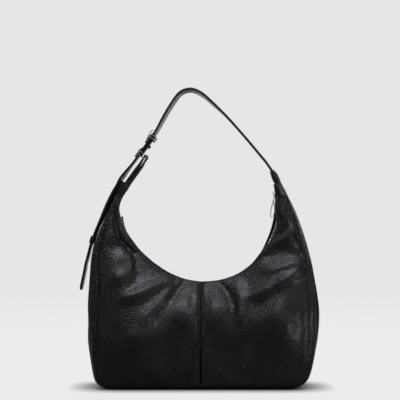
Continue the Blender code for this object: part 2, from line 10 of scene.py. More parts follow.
import bpy
import bmesh
import numpy as np
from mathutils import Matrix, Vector


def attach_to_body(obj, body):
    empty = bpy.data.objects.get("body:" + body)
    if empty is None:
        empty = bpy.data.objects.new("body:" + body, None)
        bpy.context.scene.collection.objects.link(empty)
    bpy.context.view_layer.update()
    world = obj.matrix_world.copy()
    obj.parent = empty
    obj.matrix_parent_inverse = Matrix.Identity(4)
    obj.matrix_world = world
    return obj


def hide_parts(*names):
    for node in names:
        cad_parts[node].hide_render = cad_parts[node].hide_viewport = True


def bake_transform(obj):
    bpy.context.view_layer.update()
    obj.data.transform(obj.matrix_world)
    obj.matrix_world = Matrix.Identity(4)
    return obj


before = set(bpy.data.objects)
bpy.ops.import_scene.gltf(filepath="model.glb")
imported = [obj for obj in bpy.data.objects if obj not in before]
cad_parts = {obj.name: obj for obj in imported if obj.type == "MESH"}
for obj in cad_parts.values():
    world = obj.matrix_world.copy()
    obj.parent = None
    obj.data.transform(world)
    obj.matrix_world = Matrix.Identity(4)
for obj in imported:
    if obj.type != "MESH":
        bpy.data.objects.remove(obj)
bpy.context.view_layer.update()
SCENE = bpy.context.scene
MM = 0.001
Y_AXIS = np.array([0.0, 1.0, 0.0])

# ---------------------------------------------------------- driving sizes ----
MOUTH_CENTRE = (-1.0, 268.0)    # x, z of the arc that the rims and the zip follow
TIP_DEG = 106.0                 # the horns' tips, in degrees round the arc from its lowest point
ZIP_RADIUS = 116.0
RIM_GAP = 1.2                   # from the mouth radius to the top of a panel
CORNER = 0.345                  # share of the seam at which base and gusset meet
SHELL = 1.8                     # leather thickness
LINING_LIFT = 0.9               # how far the lining's top lies below the panels'

# Seam of panel and belt, and outer edge of the belt: x, z from base centre to horn tip.
SEAM_RIGHT = (
    (0, 7), (45, 7), (90, 7), (125, 7.3), (142, 9.5), (152, 17), (158, 32), (164, 62),
    (167, 95), (166, 130), (161, 165), (153, 195), (144, 220), (132, 252), (122, 281),
    (116.5, 301))
EDGE_RIGHT = (
    (0, 0), (45, 0), (90, 0), (119, 0), (140, 2.6), (154.6, 11.5), (162.6, 29), (169.8, 62),
    (174.4, 98), (172.4, 133), (167.2, 165), (160.6, 195), (153.2, 222), (141.2, 256.5),
    (128.0, 284.5), (118.5, 301))
SEAM_LEFT = (
    (0, 7), (-45, 7), (-90, 7), (-122, 7.2), (-139, 8.8), (-148, 15), (-152, 28), (-155, 62),
    (-156, 100), (-155.5, 140), (-156, 172), (-154, 198), (-147, 222), (-133.5, 250),
    (-124, 275), (-112.5, 303))
EDGE_LEFT = (
    (0, 0), (-45, 0), (-90, 0), (-119, 0), (-140, 2.2), (-152.4, 9.8), (-158.6, 27),
    (-165.0, 64), (-165.6, 100), (-165.6, 137), (-163.0, 172), (-159.8, 200), (-153.2, 228),
    (-142.2, 253), (-131.0, 279), (-118.0, 303.5))
# Mouth radius: degrees round the arc (right positive), radius.
MOUTH_RADII = (
    (-106, 107.0), (-100, 111.0), (-95, 115.0), (-88, 118.6), (-80, 117.0), (-70, 114.2),
    (-58, 111.2), (-35, 109.3), (0, 111.0), (32, 114.3), (50, 112.6), (66, 109.8),
    (85, 109.6), (98, 111.4), (106, 112.8))
# Half depth of the bag at the seam: z, y.
SEAM_DEPTHS = ((0, 51), (30, 50.5), (70, 46.5), (115, 40.5), (160, 33), (205, 25.5), (250, 18),
               (305, 10.5))
# Half depth at the rim: degrees from the arc's lowest point, y.
RIM_DEPTHS = ((0, 22.0), (35, 21.0), (65, 17.5), (90, 12.8), (110, 9.8))
# Centre lines x, z of the strap (right tab, over the arch, down the left) and its loose end.
STRAP_PATH = (
    (112.6, 306.0), (108.4, 314.6), (102.6, 323.4), (96.1, 332.6), (88.7, 341.4),
    (66.5, 368.0), (42.9, 394.6), (25.1, 412.4), (5.9, 430.0), (-6.0, 437.3), (-16.0, 439.6),
    (-26.0, 437.0), (-34.7, 430.0), (-46.6, 412.4), (-56.9, 394.6), (-66.5, 376.9),
    (-82.4, 354.75), (-98.3, 332.6), (-105.9, 323.2), (-112.3, 315.4), (-118.6, 307.0),
    (-123.6, 297.0), (-129.0, 288.0), (-137.9, 270.5), (-145.4, 252.7), (-152.8, 235.0),
    (-159.0, 219.5), (-161.2, 213.0))
LOWER_RUN = ((-111.0, 318.0), *STRAP_PATH[20:27], (-162.4, 208.5))
LOOSE_PATH = ((-160.6, 214.6), (-162.0, 209.5), (-163.6, 204.0), (-166.2, 193.0),
              (-169.2, 181.8), (-171.4, 170.0), (-174.0, 157.5), (-177.0, 143.0))
# Start and slope of the straight strap run that carries the metal parts.
RUN_START = STRAP_PATH[17]
RUN_DEG = 54.3


# ----------------------------------------------------------------- curves ----
def unit(vectors):
    return vectors / np.maximum(np.linalg.norm(vectors, axis=-1, keepdims=True), 1e-9)


def gauss(distance, width):
    return np.exp(-(distance / width) ** 2)


def hill(x, low, high):
    """Smooth hill of height 1 between low and high."""
    return np.sin(np.pi * np.clip((x - low) / (high - low), 0, 1)) ** 2


def smooth(points, steps=24):
    """Catmull-Rom curve through the points."""
    knots = [np.array(point, float) for point in points]
    share = (np.arange(steps) / steps)[:, None]
    runs = []
    for i in range(len(knots) - 1):
        start, end = knots[i], knots[i + 1]
        before = knots[i - 1] if i else 2 * start - end
        after = knots[i + 2] if i + 2 < len(knots) else 2 * end - start
        runs.append(0.5 * (2 * start + (end - before) * share
                           + (2 * before - 5 * start + 4 * end - after) * share ** 2
                           + (3 * start - before - 3 * end + after) * share ** 3))
    runs.append(knots[-1][None, :])
    return np.concatenate(runs)


def lengths_along(points):
    """Distance from the first point to each point."""
    steps = np.linalg.norm(np.diff(points, axis=0), axis=1)
    return np.concatenate([[0], np.cumsum(steps)])


class Path:
    """Smooth x, z curve read by its share of length, 0 to 1."""

    def __init__(self, points):
        self.points = smooth(points)
        self.distances = lengths_along(self.points)
        self.length = self.distances[-1]

    def at(self, share):
        distance = np.clip(np.asarray(share, float), 0, 1) * self.length
        return np.stack([np.interp(distance, self.distances, self.points[:, k])
                         for k in (0, 1)], -1)

    def along(self, share, reach=0.004):
        """Unit direction of travel."""
        share = np.asarray(share, float)
        return unit(self.at(share + reach) - self.at(share - reach))


def curve_table(points):
    """Smooth curve as two columns for np.interp."""
    curve = smooth(points, 40)
    order = np.argsort(curve[:, 0], kind="stable")
    return curve[order, 0], curve[order, 1]


RADIUS_CURVE = curve_table(MOUTH_RADII)
SEAM_CURVE = curve_table(SEAM_DEPTHS)
RIM_CURVE = curve_table(RIM_DEPTHS)
# side -> seam and outer edge
HALVES = {1: (Path(SEAM_RIGHT), Path(EDGE_RIGHT)), -1: (Path(SEAM_LEFT), Path(EDGE_LEFT))}


def inward(path, share, side):
    """Unit x, z direction from a seam or edge into the bag."""
    travel = path.along(share)
    return side * np.stack([-travel[..., 1], travel[..., 0]], -1)


def mouth_radius(deg, face):
    radius = np.interp(deg, *RADIUS_CURVE)
    if face < 0:
        # the front rim dips at the right and stands a little higher at the left
        return radius + 7.5 * hill(deg, 50, 92) - 2.0 * hill(deg, -78, 4)
    return radius + 0.088 * np.interp(np.abs(deg), *RIM_CURVE)


def mouth_point(deg, radius):
    """x, z on the mouth's arc."""
    angle = np.radians(deg - 90)
    return np.stack([MOUTH_CENTRE[0] + radius * np.cos(angle),
                     MOUTH_CENTRE[1] + radius * np.sin(angle)], -1)


def on_track(deg, y, radius=ZIP_RADIUS):
    """x, y, z on the mouth's arc."""
    deg = np.asarray(deg, float) + 0 * np.asarray(y)
    spot = mouth_point(deg, radius)
    return np.stack([spot[..., 0], y + 0 * deg, spot[..., 1]], -1)


def to_centre(deg):
    """Unit direction from the arc to the mouth's centre."""
    angle = np.radians(deg - 90)
    return np.stack([-np.cos(angle), 0 * angle, -np.sin(angle)], -1)


def rim_span(side, face, across, gap=RIM_GAP):
    """Distance in x, z from a panel's rim to its seam."""
    deg = side * TIP_DEG * across
    rim = mouth_point(deg, mouth_radius(deg, face) + gap)
    return np.linalg.norm(rim - HALVES[side][0].at(across), axis=-1)


# ------------------------------------------------------ folds of the skin ----
FOLD_GAIN = 1.15
# Each fold: x, z points, height (minus is a valley), half width, share of height left at its end.
FRONT_FOLDS = (
    (((-114, 133), (-80, 145), (-46, 160)), 3.4, 5.6),
    (((-108, 121), (-72, 131), (-40, 149)), -0.5, 6.0),
    (((-36, 157), (-50, 137), (-68, 118), (-86, 100)), 2.2, 6.0),
    (((-25, 158), (-40, 137), (-56, 116), (-70, 96)), -2.0, 4.6),
    (((-110, 64), (-92, 74), (-74, 88)), 5.0, 12.0),
    (((-21, 130), (-18, 102)), 4.2, 13.5),
    (((20, 130), (21, 102)), 4.2, 12.5),
    (((22, 158), (37, 143), (47.5, 120), (44, 92)), -3.6, 4.8, 0.2),
    (((55, 150), (60, 126), (57, 100)), 3.0, 7.0),
    (((70, 136), (102, 150), (150, 176)), 3.2, 6.6),
    (((92, 171), (118, 180), (150, 187)), 1.5, 4.8),
    (((94, 163), (122, 171), (146, 181)), -0.4, 3.6),
    (((98, 191), (126, 199), (150, 200)), -3.5, 9.0),
    (((133, 256), (131.5, 231), (121, 219), (105, 212), (90, 200)), 2.8, 3.6),
    (((124, 250), (122, 232), (113, 224), (96, 214)), -1.8, 3.8),
    (((-132, 283), (-127, 250), (-119, 219), (-97, 198)), -2.4, 3.0),
    (((-124, 272), (-119.5, 246), (-110, 219), (-92, 204)), 1.8, 3.4),
    (((-127, 162), (-113, 167)), 2.8, 6.8),
    (((-134, 210), (-112, 205)), -1.7, 8.0),
    (((-97, 196), (-95, 178), (-94, 160)), -0.9, 3.0),
    (((-103, 190), (-101, 172)), 0.6, 3.0),
    (((-38, 163), (-39, 154)), -1.8, 2.2),
    (((-29, 161), (-32, 152)), 1.0, 2.4),
    (((112, 124), (120, 98), (122, 72)), 3.4, 14.0),
    (((-143, 150), (-146, 100), (-143, 40)), 1.4, 5.0),
    (((150, 150), (154, 100), (150, 40)), 1.2, 5.0),
    (((78, 122), (98, 128), (118, 150)), -1.8, 9.0),
    (((-70, 60), (0, 66), (80, 58)), -1.4, 14.0),
)
BACK_FOLDS = (
    (((108, 140), (78, 150), (44, 163)), 3.0, 7.0),
    (((102, 130), (68, 138), (34, 152)), -3.0, 6.0),
    (((20, 152), (28, 128), (30, 98)), 2.6, 8.0),
    (((-22, 152), (-30, 130), (-34, 96)), 2.8, 8.0),
    (((-36, 156), (-45, 134), (-48, 108)), -3.2, 5.0),
    (((-62, 146), (-98, 160), (-140, 186)), 2.8, 7.0),
    (((-96, 190), (-122, 200), (-146, 203)), -2.8, 7.0),
    (((96, 196), (120, 205), (146, 206)), -2.6, 7.0),
    (((127, 250), (119, 226), (98, 204)), -1.8, 3.4),
    (((-126, 256), (-118, 226), (-97, 204)), -1.8, 3.4),
    (((96, 78), (110, 100)), 2.2, 14.0),
    (((-100, 80), (-84, 100)), 2.2, 14.0),
    (((-70, 60), (0, 66), (80, 58)), -1.2, 14.0),
)


def waves(count, shortest, longest, seed):
    """Plane waves in random directions: x rates, z rates and phases."""
    draw = np.random.RandomState(seed)
    rate = 2 * np.pi / draw.uniform(shortest, longest, count)
    angle = draw.uniform(0, 2 * np.pi, count)
    return rate * np.cos(angle), rate * np.sin(angle), draw.uniform(0, 2 * np.pi, count)


def wave_sum(x, z, wave_set):
    total = np.zeros_like(x)
    for x_rate, z_rate, phase in zip(*wave_set):
        total += np.sin(x_rate * x + z_rate * z + phase)
    return total / math.sqrt(len(wave_set[0]))


BROAD_WAVES = waves(9, 70, 130, seed=3)
MIDDLE_WAVES = waves(12, 22, 45, seed=4)
FINE_WAVES = waves(16, 7, 13, seed=5)


def fold_centres(points, width):
    """Even points along a fold, close enough for a smooth ridge."""
    line = smooth(points, 16) if len(points) > 2 else np.linspace(points[0], points[1], 17)
    distances = lengths_along(line)
    count = max(int(distances[-1] / (0.6 * width)) + 1, 3)
    even = np.linspace(0, distances[-1], count)
    return np.stack([np.interp(even, distances, line[:, k]) for k in (0, 1)], -1)


def fold_hills(group):
    """Each fold as a row of round hills: centres, heights and width."""
    rows = []
    for points, height, width, *end_share in group:
        centres = fold_centres(points, width)
        gaps = ((centres[:, None, :] - centres[None, :, :]) ** 2).sum(-1)
        overlap = np.exp(-0.5 * gaps / width ** 2).sum(1).max()
        fade = np.linspace(1.0, end_share[0] if end_share else 1.0, len(centres))
        rows.append((centres, fade * height * FOLD_GAIN / overlap, width))
    return rows


FOLD_HILLS = {-1: fold_hills(FRONT_FOLDS), 1: fold_hills(BACK_FOLDS)}


def folds(x, z, face):
    """Height of the folds and of a light waviness of the leather."""
    total = np.zeros_like(x)
    for centres, heights, width in FOLD_HILLS[face]:
        for (hill_x, hill_z), height in zip(centres, heights):
            total += height * np.exp(-0.5 * ((x - hill_x) ** 2 + (z - hill_z) ** 2) / width ** 2)
    # the offsets give the back other waves than the front
    total += 0.45 * wave_sum(x, z, BROAD_WAVES)
    total += 0.28 * wave_sum(x + 900 * (face > 0), z, MIDDLE_WAVES)
    total += 0.05 * wave_sum(x, z + 500 * (face > 0), FINE_WAVES)
    return total


# --------------------------------------------------------- body surfaces ----
def panel(side, face, across, down, inset=0.0, lift=0.0):
    """Half a front or back panel; across runs centre to tip, down runs rim to seam, 0 to 1."""
    seam = HALVES[side][0]
    into_bag = inward(seam, across, side)
    deg = side * TIP_DEG * across
    rim = mouth_point(deg, mouth_radius(deg, face) + RIM_GAP + lift)
    end = seam.at(across) + into_bag * inset
    spot = rim + (end - rim) * down[..., None]
    rim_y = np.interp(TIP_DEG * across, *RIM_CURVE)
    seam_y = np.interp(seam.at(across)[..., 1], *SEAM_CURVE)
    span = np.linalg.norm(end - rim, axis=-1)
    belly = 0.11 * span * np.sin(np.pi * down ** 0.8)
    y = rim_y + (seam_y - rim_y) * down + belly
    x, z = spot[..., 0], spot[..., 1]
    to_seam = (1 - down) * span
    to_rim = down * span
    to_middle = np.abs(x)
    # folds fade out at the seam, the middle and the rim, and on the narrow horns
    keep = (1 - gauss(to_seam, 9.0)) * (1 - 0.85 * gauss(to_middle, 8.0))
    keep = keep * (0.35 + 0.65 * np.clip(to_rim / 8.0, 0, 1)) * np.clip(span / 40.0, 0.25, 1)
    y = y + folds(x, z, face) * keep
    # the edge turns in at the seam, less so along the base, with a low ridge beside it
    turn = 0.3 + 0.7 * np.clip((across - CORNER) / 0.08, 0, 1)
    y = y - turn * (1.3 * gauss(to_seam, 1.5) - 0.5 * gauss(to_seam - 3.4, 1.8))
    shift = into_bag * (turn * gauss(to_seam, 1.6))[..., None]
    x, z = x + shift[..., 0], z + shift[..., 1]
    # middle seam: a dip, a ridge and the stitch groove; then the rim's stitch groove
    y = y - 1.5 * gauss(to_middle, 0.9) + 1.1 * gauss(to_middle - 2.6, 1.2)
    y = y - 0.75 * gauss(to_middle - 4.9, 0.9)
    y = y - 0.35 * gauss(to_rim - 5.0, 0.7)
    return np.stack([x, face * (y - inset), z], -1)


def belt(side, along, width, inset=0.0):
    """Base and gusset; along runs base centre to tip, width from -1 (front) to 1 (back)."""
    seam, edge = HALVES[side]
    seam_spot = seam.at(along) + inward(seam, along, side) * inset
    edge_spot = edge.at(along) + inward(edge, along, side) * inset
    depth = np.interp(seam.at(along)[..., 1], *SEAM_CURVE)
    reach = np.abs(width)
    # section: flat with tight corners at the base, rounder on the gussets
    gusset = np.clip((along - CORNER) / 0.1, 0, 1)
    flat = 1 - (np.maximum(reach - 0.72, 0) / 0.28) ** 2.2
    curved = 1 - (np.maximum(reach - 0.35, 0) / 0.65) ** 2.4
    swell = flat + (curved - flat) * gusset
    spot = seam_spot + (edge_spot - seam_spot) * swell[..., None]
    y = width * (depth - inset)
    # the gusset folds in a little along its middle and crumples lightly
    fold = 1.6 * np.clip((along - 0.5) / 0.25, 0, 1) * gauss(width, 0.28)
    crumple = gusset * (0.3 * wave_sum(y * 1.2, spot[..., 1], MIDDLE_WAVES)
                        + 0.05 * wave_sum(y, spot[..., 1], FINE_WAVES))
    # both borders turn in at the seams
    to_seam = (1 - reach) * depth
    turn = 0.3 + 0.7 * gusset
    border = turn * gauss(to_seam, 1.6) - 0.45 * gauss(to_seam - 3.2, 1.7) * gusset
    push = (fold + crumple * (1 - reach ** 4)) + border
    spot = spot + inward(edge, along, side) * push[..., None]
    y = y - np.sign(width) * 1.3 * turn * gauss(to_seam, 1.5)
    z = np.maximum(spot[..., 1], inset * 0.5)
    return np.stack([spot[..., 0], y, z], -1)


# ----------------------------------------------------------- mesh helpers ----
def new_mesh(name, geometry, material, angle):
    """Smooth object from points in mm and faces; edges over angle degrees stay sharp."""
    points, faces = geometry
    mesh = bpy.data.meshes.new(name)
    mesh.from_pydata((np.asarray(points, float) * MM).tolist(), [],
                     [tuple(int(i) for i in face) for face in faces])
    mesh.validate()
    bm = bmesh.new()
    bm.from_mesh(mesh)
    bmesh.ops.recalc_face_normals(bm, faces=bm.faces[:])
    bm.to_mesh(mesh)
    bm.free()
    mesh.shade_smooth()
    if angle:
        mesh.set_sharp_from_angle(angle=math.radians(angle))
    solid = bpy.data.objects.new(name, mesh)
    SCENE.collection.objects.link(solid)
    mesh.materials.append(material)
    return solid


def sheet(outer, inner):
    """Closed solid between two equal grids of points."""
    rows, columns = outer.shape[:2]
    points = np.concatenate([outer.reshape(-1, 3), inner.reshape(-1, 3)])
    count = rows * columns
    index = np.arange(count).reshape(rows, columns)
    quad = [index[:-1, :-1], index[1:, :-1], index[1:, 1:], index[:-1, 1:]]
    top = np.stack(quad, -1).reshape(-1, 4)
    bottom = np.stack(quad[::-1], -1).reshape(-1, 4) + count
    ring = np.concatenate([index[:, 0], index[-1, 1:], index[-2::-1, -1], index[0, -2:0:-1]])
    after = np.roll(ring, -1)
    border = np.stack([after, ring, ring + count, after + count], -1)
    return points, np.concatenate([top, bottom, border])


def tube_walls(rings, count, closed=False):
    """Quads between successive rings of count points."""
    faces = []
    for i in range(rings if closed else rings - 1):
        here, there = i * count, (i + 1) % rings * count
        for j in range(count):
            k = (j + 1) % count
            faces.append((here + j, here + k, there + k, there + j))
    return faces


def end_caps(rings, count):
    return [tuple(range(count))[::-1], tuple((rings - 1) * count + j for j in range(count))]


def sweep(points, normals, profile, closed=False, scale=None):
    """Profile (along the normal, along the binormal) carried over the points.

    scale holds one factor for each point, or one for each profile direction.
    """
    points = np.asarray(points, float)
    normals = np.broadcast_to(np.asarray(normals, float), points.shape)
    count = len(points)
    if closed:
        tangents = np.roll(points, -1, 0) - np.roll(points, 1, 0)
    else:
        tangents = np.gradient(points, axis=0)
    tangents = unit(tangents)
    normals = unit(normals - (normals * tangents).sum(1, keepdims=True) * tangents)
    binormals = np.cross(tangents, normals)
    profile = np.asarray(profile, float)
    scale = np.ones((count, 1)) if scale is None else np.asarray(scale, float).reshape(count, -1)
    placed = (points[:, None, :]
              + normals[:, None, :] * (profile[None, :, :1] * scale[:, None, :1])
              + binormals[:, None, :] * (profile[None, :, 1:] * scale[:, None, -1:]))
    faces = tube_walls(count, len(profile), closed)
    if not closed:
        faces += end_caps(count, len(profile))
    return placed.reshape(-1, 3), faces


def join(parts):
    points, faces, base = [], [], 0
    for part_points, part_faces in parts:
        points.append(np.asarray(part_points, float))
        faces += [tuple(int(i) + base for i in face) for face in part_faces]
        base += len(part_points)
    return np.concatenate(points), faces


def round_rect(low_a, high_a, low_b, high_b, radius, steps):
    """Rectangle outline with rounded corners, from its high corner round."""
    outline = []
    for centre_a, centre_b, start in ((high_a - radius, high_b - radius, 0),
                                      (low_a + radius, high_b - radius, 90),
                                      (low_a + radius, low_b + radius, 180),
                                      (high_a - radius, low_b + radius, 270)):
        for k in range(steps + 1):
            angle = math.radians(start + 90 * k / steps)
            outline.append((centre_a + radius * math.cos(angle),
                            centre_b + radius * math.sin(angle)))
    return outline


def bar_profile(thick, wide, radius, steps=4):
    """Rounded bar section: thick along the normal, wide across it."""
    return round_rect(-thick / 2, thick / 2, -wide / 2, wide / 2, radius, steps)


def circle(radius, count):
    angles = [2 * math.pi * k / count for k in range(count)]
    return [(radius * math.cos(angle), radius * math.sin(angle)) for angle in angles]


def grid(rows, columns):
    return np.meshgrid(rows, columns, indexing='ij')


def grid_normals(points):
    return unit(np.cross(np.gradient(points, axis=0), np.gradient(points, axis=1)))


def spread(count, ends):
    """Values from 0 to 1, closer together at both ends."""
    x = np.linspace(0, 1, count)
    return (1 - ends) * x + ends * (0.5 - 0.5 * np.cos(np.pi * x))


def mirrored(end, count):
    """Even values from -end to end, through zero once."""
    return np.concatenate([-np.linspace(end, 0, count)[:-1], np.linspace(0, end, count)])


# -------------------------------------------------------------- materials ----
class Nodes:
    """Short ways to build a node tree. Sockets given as values are linked."""

    def __init__(self, tree):
        self.tree = tree

    def put(self, socket, value):
        if isinstance(value, bpy.types.NodeSocket):
            self.tree.links.new(value, socket)
        else:
            socket.default_value = value

    def fill(self, node, values):
        """Set inputs (underscores stand for spaces) or, failing that, attributes."""
        for key, value in values.items():
            name = key.replace("_", " ")
            if name in node.inputs.keys():
                self.put(node.inputs[name], value)
            else:
                setattr(node, key, value)

    def node(self, kind, **values):
        node = self.tree.nodes.new("ShaderNode" + kind)
        self.fill(node, values)
        return node

    def calc(self, operation, *values, clamp=False):
        node = self.node("Math", operation=operation, use_clamp=clamp)
        for socket, value in zip(node.inputs, values):
            self.put(socket, value)
        return node.outputs[0]

    def add_scaled(self, value, gain, onto):
        return self.calc('MULTIPLY_ADD', value, gain, onto)

    def ramp(self, factor, *stops):
        """Colour ramp of two (position, grey or colour) stops."""
        node = self.node("ValToRGB", Fac=factor)
        for element, (position, tone) in zip(node.color_ramp.elements, stops):
            element.position = position
            element.color = (*tone, 1) if isinstance(tone, tuple) else (tone, tone, tone, 1)
        return node.outputs["Color"]

    def mix(self, **values):
        return self.node("Mix", data_type='RGBA', **values).outputs["Result"]


class Surface(Nodes):
    """A new material with its Principled shader and object coordinates."""

    def __init__(self, name):
        self.material = bpy.data.materials.new(name)
        self.material.use_nodes = True
        super().__init__(self.material.node_tree)
        self.shader = self.tree.nodes["Principled BSDF"]
        self.coords = self.node("TexCoord").outputs["Object"]

    def set(self, **values):
        self.fill(self.shader, values)

    def noise(self, scale, detail, roughness=0.5, vector=None):
        return self.node("TexNoise", Vector=vector or self.coords, Scale=scale, Detail=detail,
                         Roughness=roughness).outputs["Fac"]

    def bump(self, **values):
        self.set(Normal=self.node("Bump", **values).outputs["Normal"])


def scaled(colour, factor):
    return tuple(channel * factor for channel in colour)


def leather_material(name, grain, pitch, dark, rough):
    """Pebbled black leather: pitch is the pebble size in mm, grain their depth."""
    surface = Surface(name)
    wobble = surface.node("TexNoise", Vector=surface.coords, Scale=260.0, Detail=2.0,
                          Roughness=0.5)
    warp = surface.node("VectorMath", operation='MULTIPLY_ADD')
    for socket, value in zip(warp.inputs,
                             (wobble.outputs["Color"], (0.0011,) * 3, surface.coords)):
        surface.put(socket, value)
    pebble = {"Vector": warp.outputs[0], "Scale": 1000.0 / pitch, "Randomness": 0.95}
    cells = surface.node("TexVoronoi", feature='SMOOTH_F1', Smoothness=0.55, **pebble)
    edges = surface.node("TexVoronoi", feature='DISTANCE_TO_EDGE', **pebble)
    fine = surface.noise(scale=2600.0, detail=3.0, roughness=0.6)
    broad = surface.noise(scale=26.0, detail=3.0, roughness=0.55)
    pores = surface.node("TexVoronoi", feature='F1', Vector=surface.coords, Scale=1450.0)
    # height: rounded domes, soft creases between them, fine grain and pores
    spread_out = surface.calc('MULTIPLY', cells.outputs["Distance"], 1.15)
    dome = surface.calc('SUBTRACT', 1.0, surface.calc('POWER', spread_out, 2.0))
    crease = surface.node("MapRange", interpolation_type='SMOOTHSTEP', From_Min=0.0,
                          From_Max=0.2, Value=edges.outputs["Distance"]).outputs["Result"]
    pit = surface.calc('MULTIPLY', pores.outputs["Distance"], 1.6, clamp=True)
    height = surface.add_scaled(crease, gain=0.20, onto=surface.calc('MULTIPLY', dome, 1.0))
    height = surface.add_scaled(fine, gain=0.10, onto=height)
    height = surface.add_scaled(pit, gain=0.05, onto=height)
    # the grain is pulled flatter in some places
    amount = surface.ramp(broad, (0.30, 0.45), (0.68, 1.0))
    surface.bump(Strength=1.0, Distance=0.00032 * grain,
                 Height=surface.calc('MULTIPLY', height, amount))
    # colour: painted shade darker in the creases between pebbles, a little browner where edges rub
    pointiness = surface.node("NewGeometry").outputs["Pointiness"]
    rub = surface.ramp(pointiness, (0.505, 0.0), (0.56, 1.0))
    tint = surface.ramp(crease, (0.0, scaled((0.42, 0.40, 0.55), dark)),
                        (0.8, scaled((1.0, 0.92, 1.45), dark)))
    colour = surface.mix(Factor=surface.calc('MULTIPLY', rub, 0.35), A=tint,
                         B=(*scaled((3.2, 2.9, 2.8), dark), 1))
    # roughness: patchy, duller in the creases
    dull = surface.add_scaled(broad, gain=0.16, onto=rough - 0.10)
    dull = surface.add_scaled(surface.calc('SUBTRACT', 1.0, crease), gain=0.22, onto=dull)
    dull = surface.add_scaled(fine, gain=0.06, onto=dull)
    surface.set(Base_Color=colour, Roughness=dull, Specular_IOR_Level=0.5,
                Specular_Tint=(0.91, 0.89, 1.0, 1), Coat_Weight=0.12, Coat_Roughness=0.22)
    return surface.material


def metal_material(name, colour, rough):
    """Metal with faint blotches, fine brushing along X and brighter edges."""
    surface = Surface(name)
    blotch = surface.noise(scale=420.0, detail=4.0, roughness=0.6)
    stretched = surface.node("Mapping", Vector=surface.coords, Scale=(300.0, 4200.0, 4200.0))
    brushing = surface.noise(scale=1.0, detail=2.0, vector=stretched.outputs[0])
    tone = surface.ramp(blotch, (0.3, scaled(colour, 0.973)), (0.7, colour))
    pointiness = surface.node("NewGeometry").outputs["Pointiness"]
    worn = surface.ramp(pointiness, (0.50, 0.0), (0.62, 1.0))
    tone = surface.mix(Factor=surface.calc('MULTIPLY', worn, 0.5), A=tone,
                       B=(*scaled(colour, 1.15), 1))
    dull = surface.add_scaled(blotch, gain=0.07, onto=rough)
    dull = surface.add_scaled(brushing, gain=0.08, onto=dull)
    surface.set(Base_Color=tone, Metallic=1.0, Roughness=dull)
    surface.bump(Strength=0.25, Distance=0.00003, Height=brushing)
    return surface.material


def woven_material(name, colour, pitch, rough, depth=1.0, sheen=0.25):
    """Plain weave: two crossed sets of threads, pitch in mm."""
    surface = Surface(name)
    calc = surface.calc
    x, y, z = surface.node("SeparateXYZ", Vector=surface.coords).outputs
    rate = 2 * math.pi / (pitch * MM)
    warp = calc('MULTIPLY', calc('ADD', x, y), rate)
    weft = calc('MULTIPLY', calc('SUBTRACT', z, calc('MULTIPLY', y, 0.35)), rate)
    warp_wave = calc('SINE', warp)
    weft_wave = calc('SINE', weft)
    # half-rate waves set which thread lies on top
    over = calc('MULTIPLY', calc('SINE', calc('MULTIPLY', warp, 0.5)),
                calc('SINE', calc('MULTIPLY', weft, 0.5)))
    height = calc('ADD', calc('ABSOLUTE', warp_wave), calc('ABSOLUTE', weft_wave))
    height = surface.add_scaled(over, gain=0.6, onto=height)
    patches = surface.noise(scale=90.0, detail=4.0, roughness=0.6)
    fuzz = surface.noise(scale=2400.0, detail=2.0)
    # painted shade: the weave's tone darkens where its threads lie low
    tone = surface.ramp(calc('MULTIPLY', height, 0.4), (0.0, scaled(colour, 0.45)),
                        (0.8, scaled(colour, 1.1)))
    tone = surface.mix(blend_type='MULTIPLY', Factor=0.5, A=tone,
                       B=surface.ramp(patches, (0.3, 0.6), (0.7, 1.0)))
    surface.set(Base_Color=tone, Sheen_Weight=sheen,
                Roughness=surface.add_scaled(fuzz, gain=0.2, onto=rough - 0.1))
    surface.bump(Strength=0.8, Distance=0.00012 * depth,
                 Height=surface.add_scaled(fuzz, gain=0.5, onto=height))
    return surface.material


def thread_material(name, colour):
    surface = Surface(name)
    twist = surface.node("TexWave", Vector=surface.coords, Scale=900.0, Distortion=1.5,
                         bands_direction='DIAGONAL').outputs["Fac"]
    # painted shade: the thread darkens in the grooves of its twist
    surface.set(Base_Color=surface.ramp(twist, (0.1, scaled(colour, 0.4)), (0.9, colour)),
                Roughness=0.45, Sheen_Weight=0.2)
    surface.bump(Strength=0.6, Distance=0.00008, Height=twist)
    return surface.material


LEATHER = leather_material("pebbled_leather", grain=1.7, pitch=2.5, dark=0.0029, rough=0.245)
STRAP_LEATHER = leather_material("strap_leather", grain=0.6, pitch=1.3, dark=0.0045, rough=0.32)
EDGE_LEATHER = leather_material("edge_leather_fine", grain=0.55, pitch=1.1, dark=0.0045,
                                rough=0.31)
SILVER = metal_material("polished_silver", colour=(0.66, 0.655, 0.65), rough=0.18)
# dark metal: the stud's own colour, and painted shade on the buckle's keeper loop
DARK_METAL_AND_SHADE = metal_material("dark_metal_and_painted_shade", colour=(0.07, 0.07, 0.075), rough=0.26)
ZIP_TAPE = woven_material("zip_tape_weave", colour=(0.012, 0.012, 0.013), pitch=0.55, rough=0.85)
LINING = woven_material("lining_twill", colour=(0.040, 0.038, 0.040), pitch=0.7, rough=0.7,
                        sheen=0.4)
BOARD = woven_material("board_fibre", colour=(0.22, 0.17, 0.12), pitch=1.4, rough=0.85,
                       depth=0.6, sheen=0.0)
THREAD = thread_material("waxed_thread", colour=(0.020, 0.020, 0.021))

SLOTS = {"pebbled_leather": "leather", "strap_leather": "leather", "waxed_thread": "leather",
         "edge_leather_fine": "edge_leather", "polished_silver": "silver",
         "dark_metal_and_painted_shade": "dark_metal", "zip_tape_weave": "zip_tape",
         "lining_twill": "lining", "board_fibre": "board"}

# ----------------------------------------------------------------- pieces ----
PIECES = []


def attach(solid, follows, replaced=(), slot=None):
    """Parent a piece to its body's empty, or for a blend of bodies only bake its place into its
    mesh; hide the parts it replaces.
    """
    if isinstance(follows, str):
        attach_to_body(solid, follows)
    else:
        first, second, start, end = follows
        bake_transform(solid)
        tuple(start)
        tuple(end)
    if replaced:
        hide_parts(*replaced)
    slot or SLOTS[solid.data.materials[0].name]
    PIECES.append(solid)


def add(name, geometry, material, follows, *replaced, angle=50):
    attach(new_mesh(name, geometry, material, angle), follows, replaced)


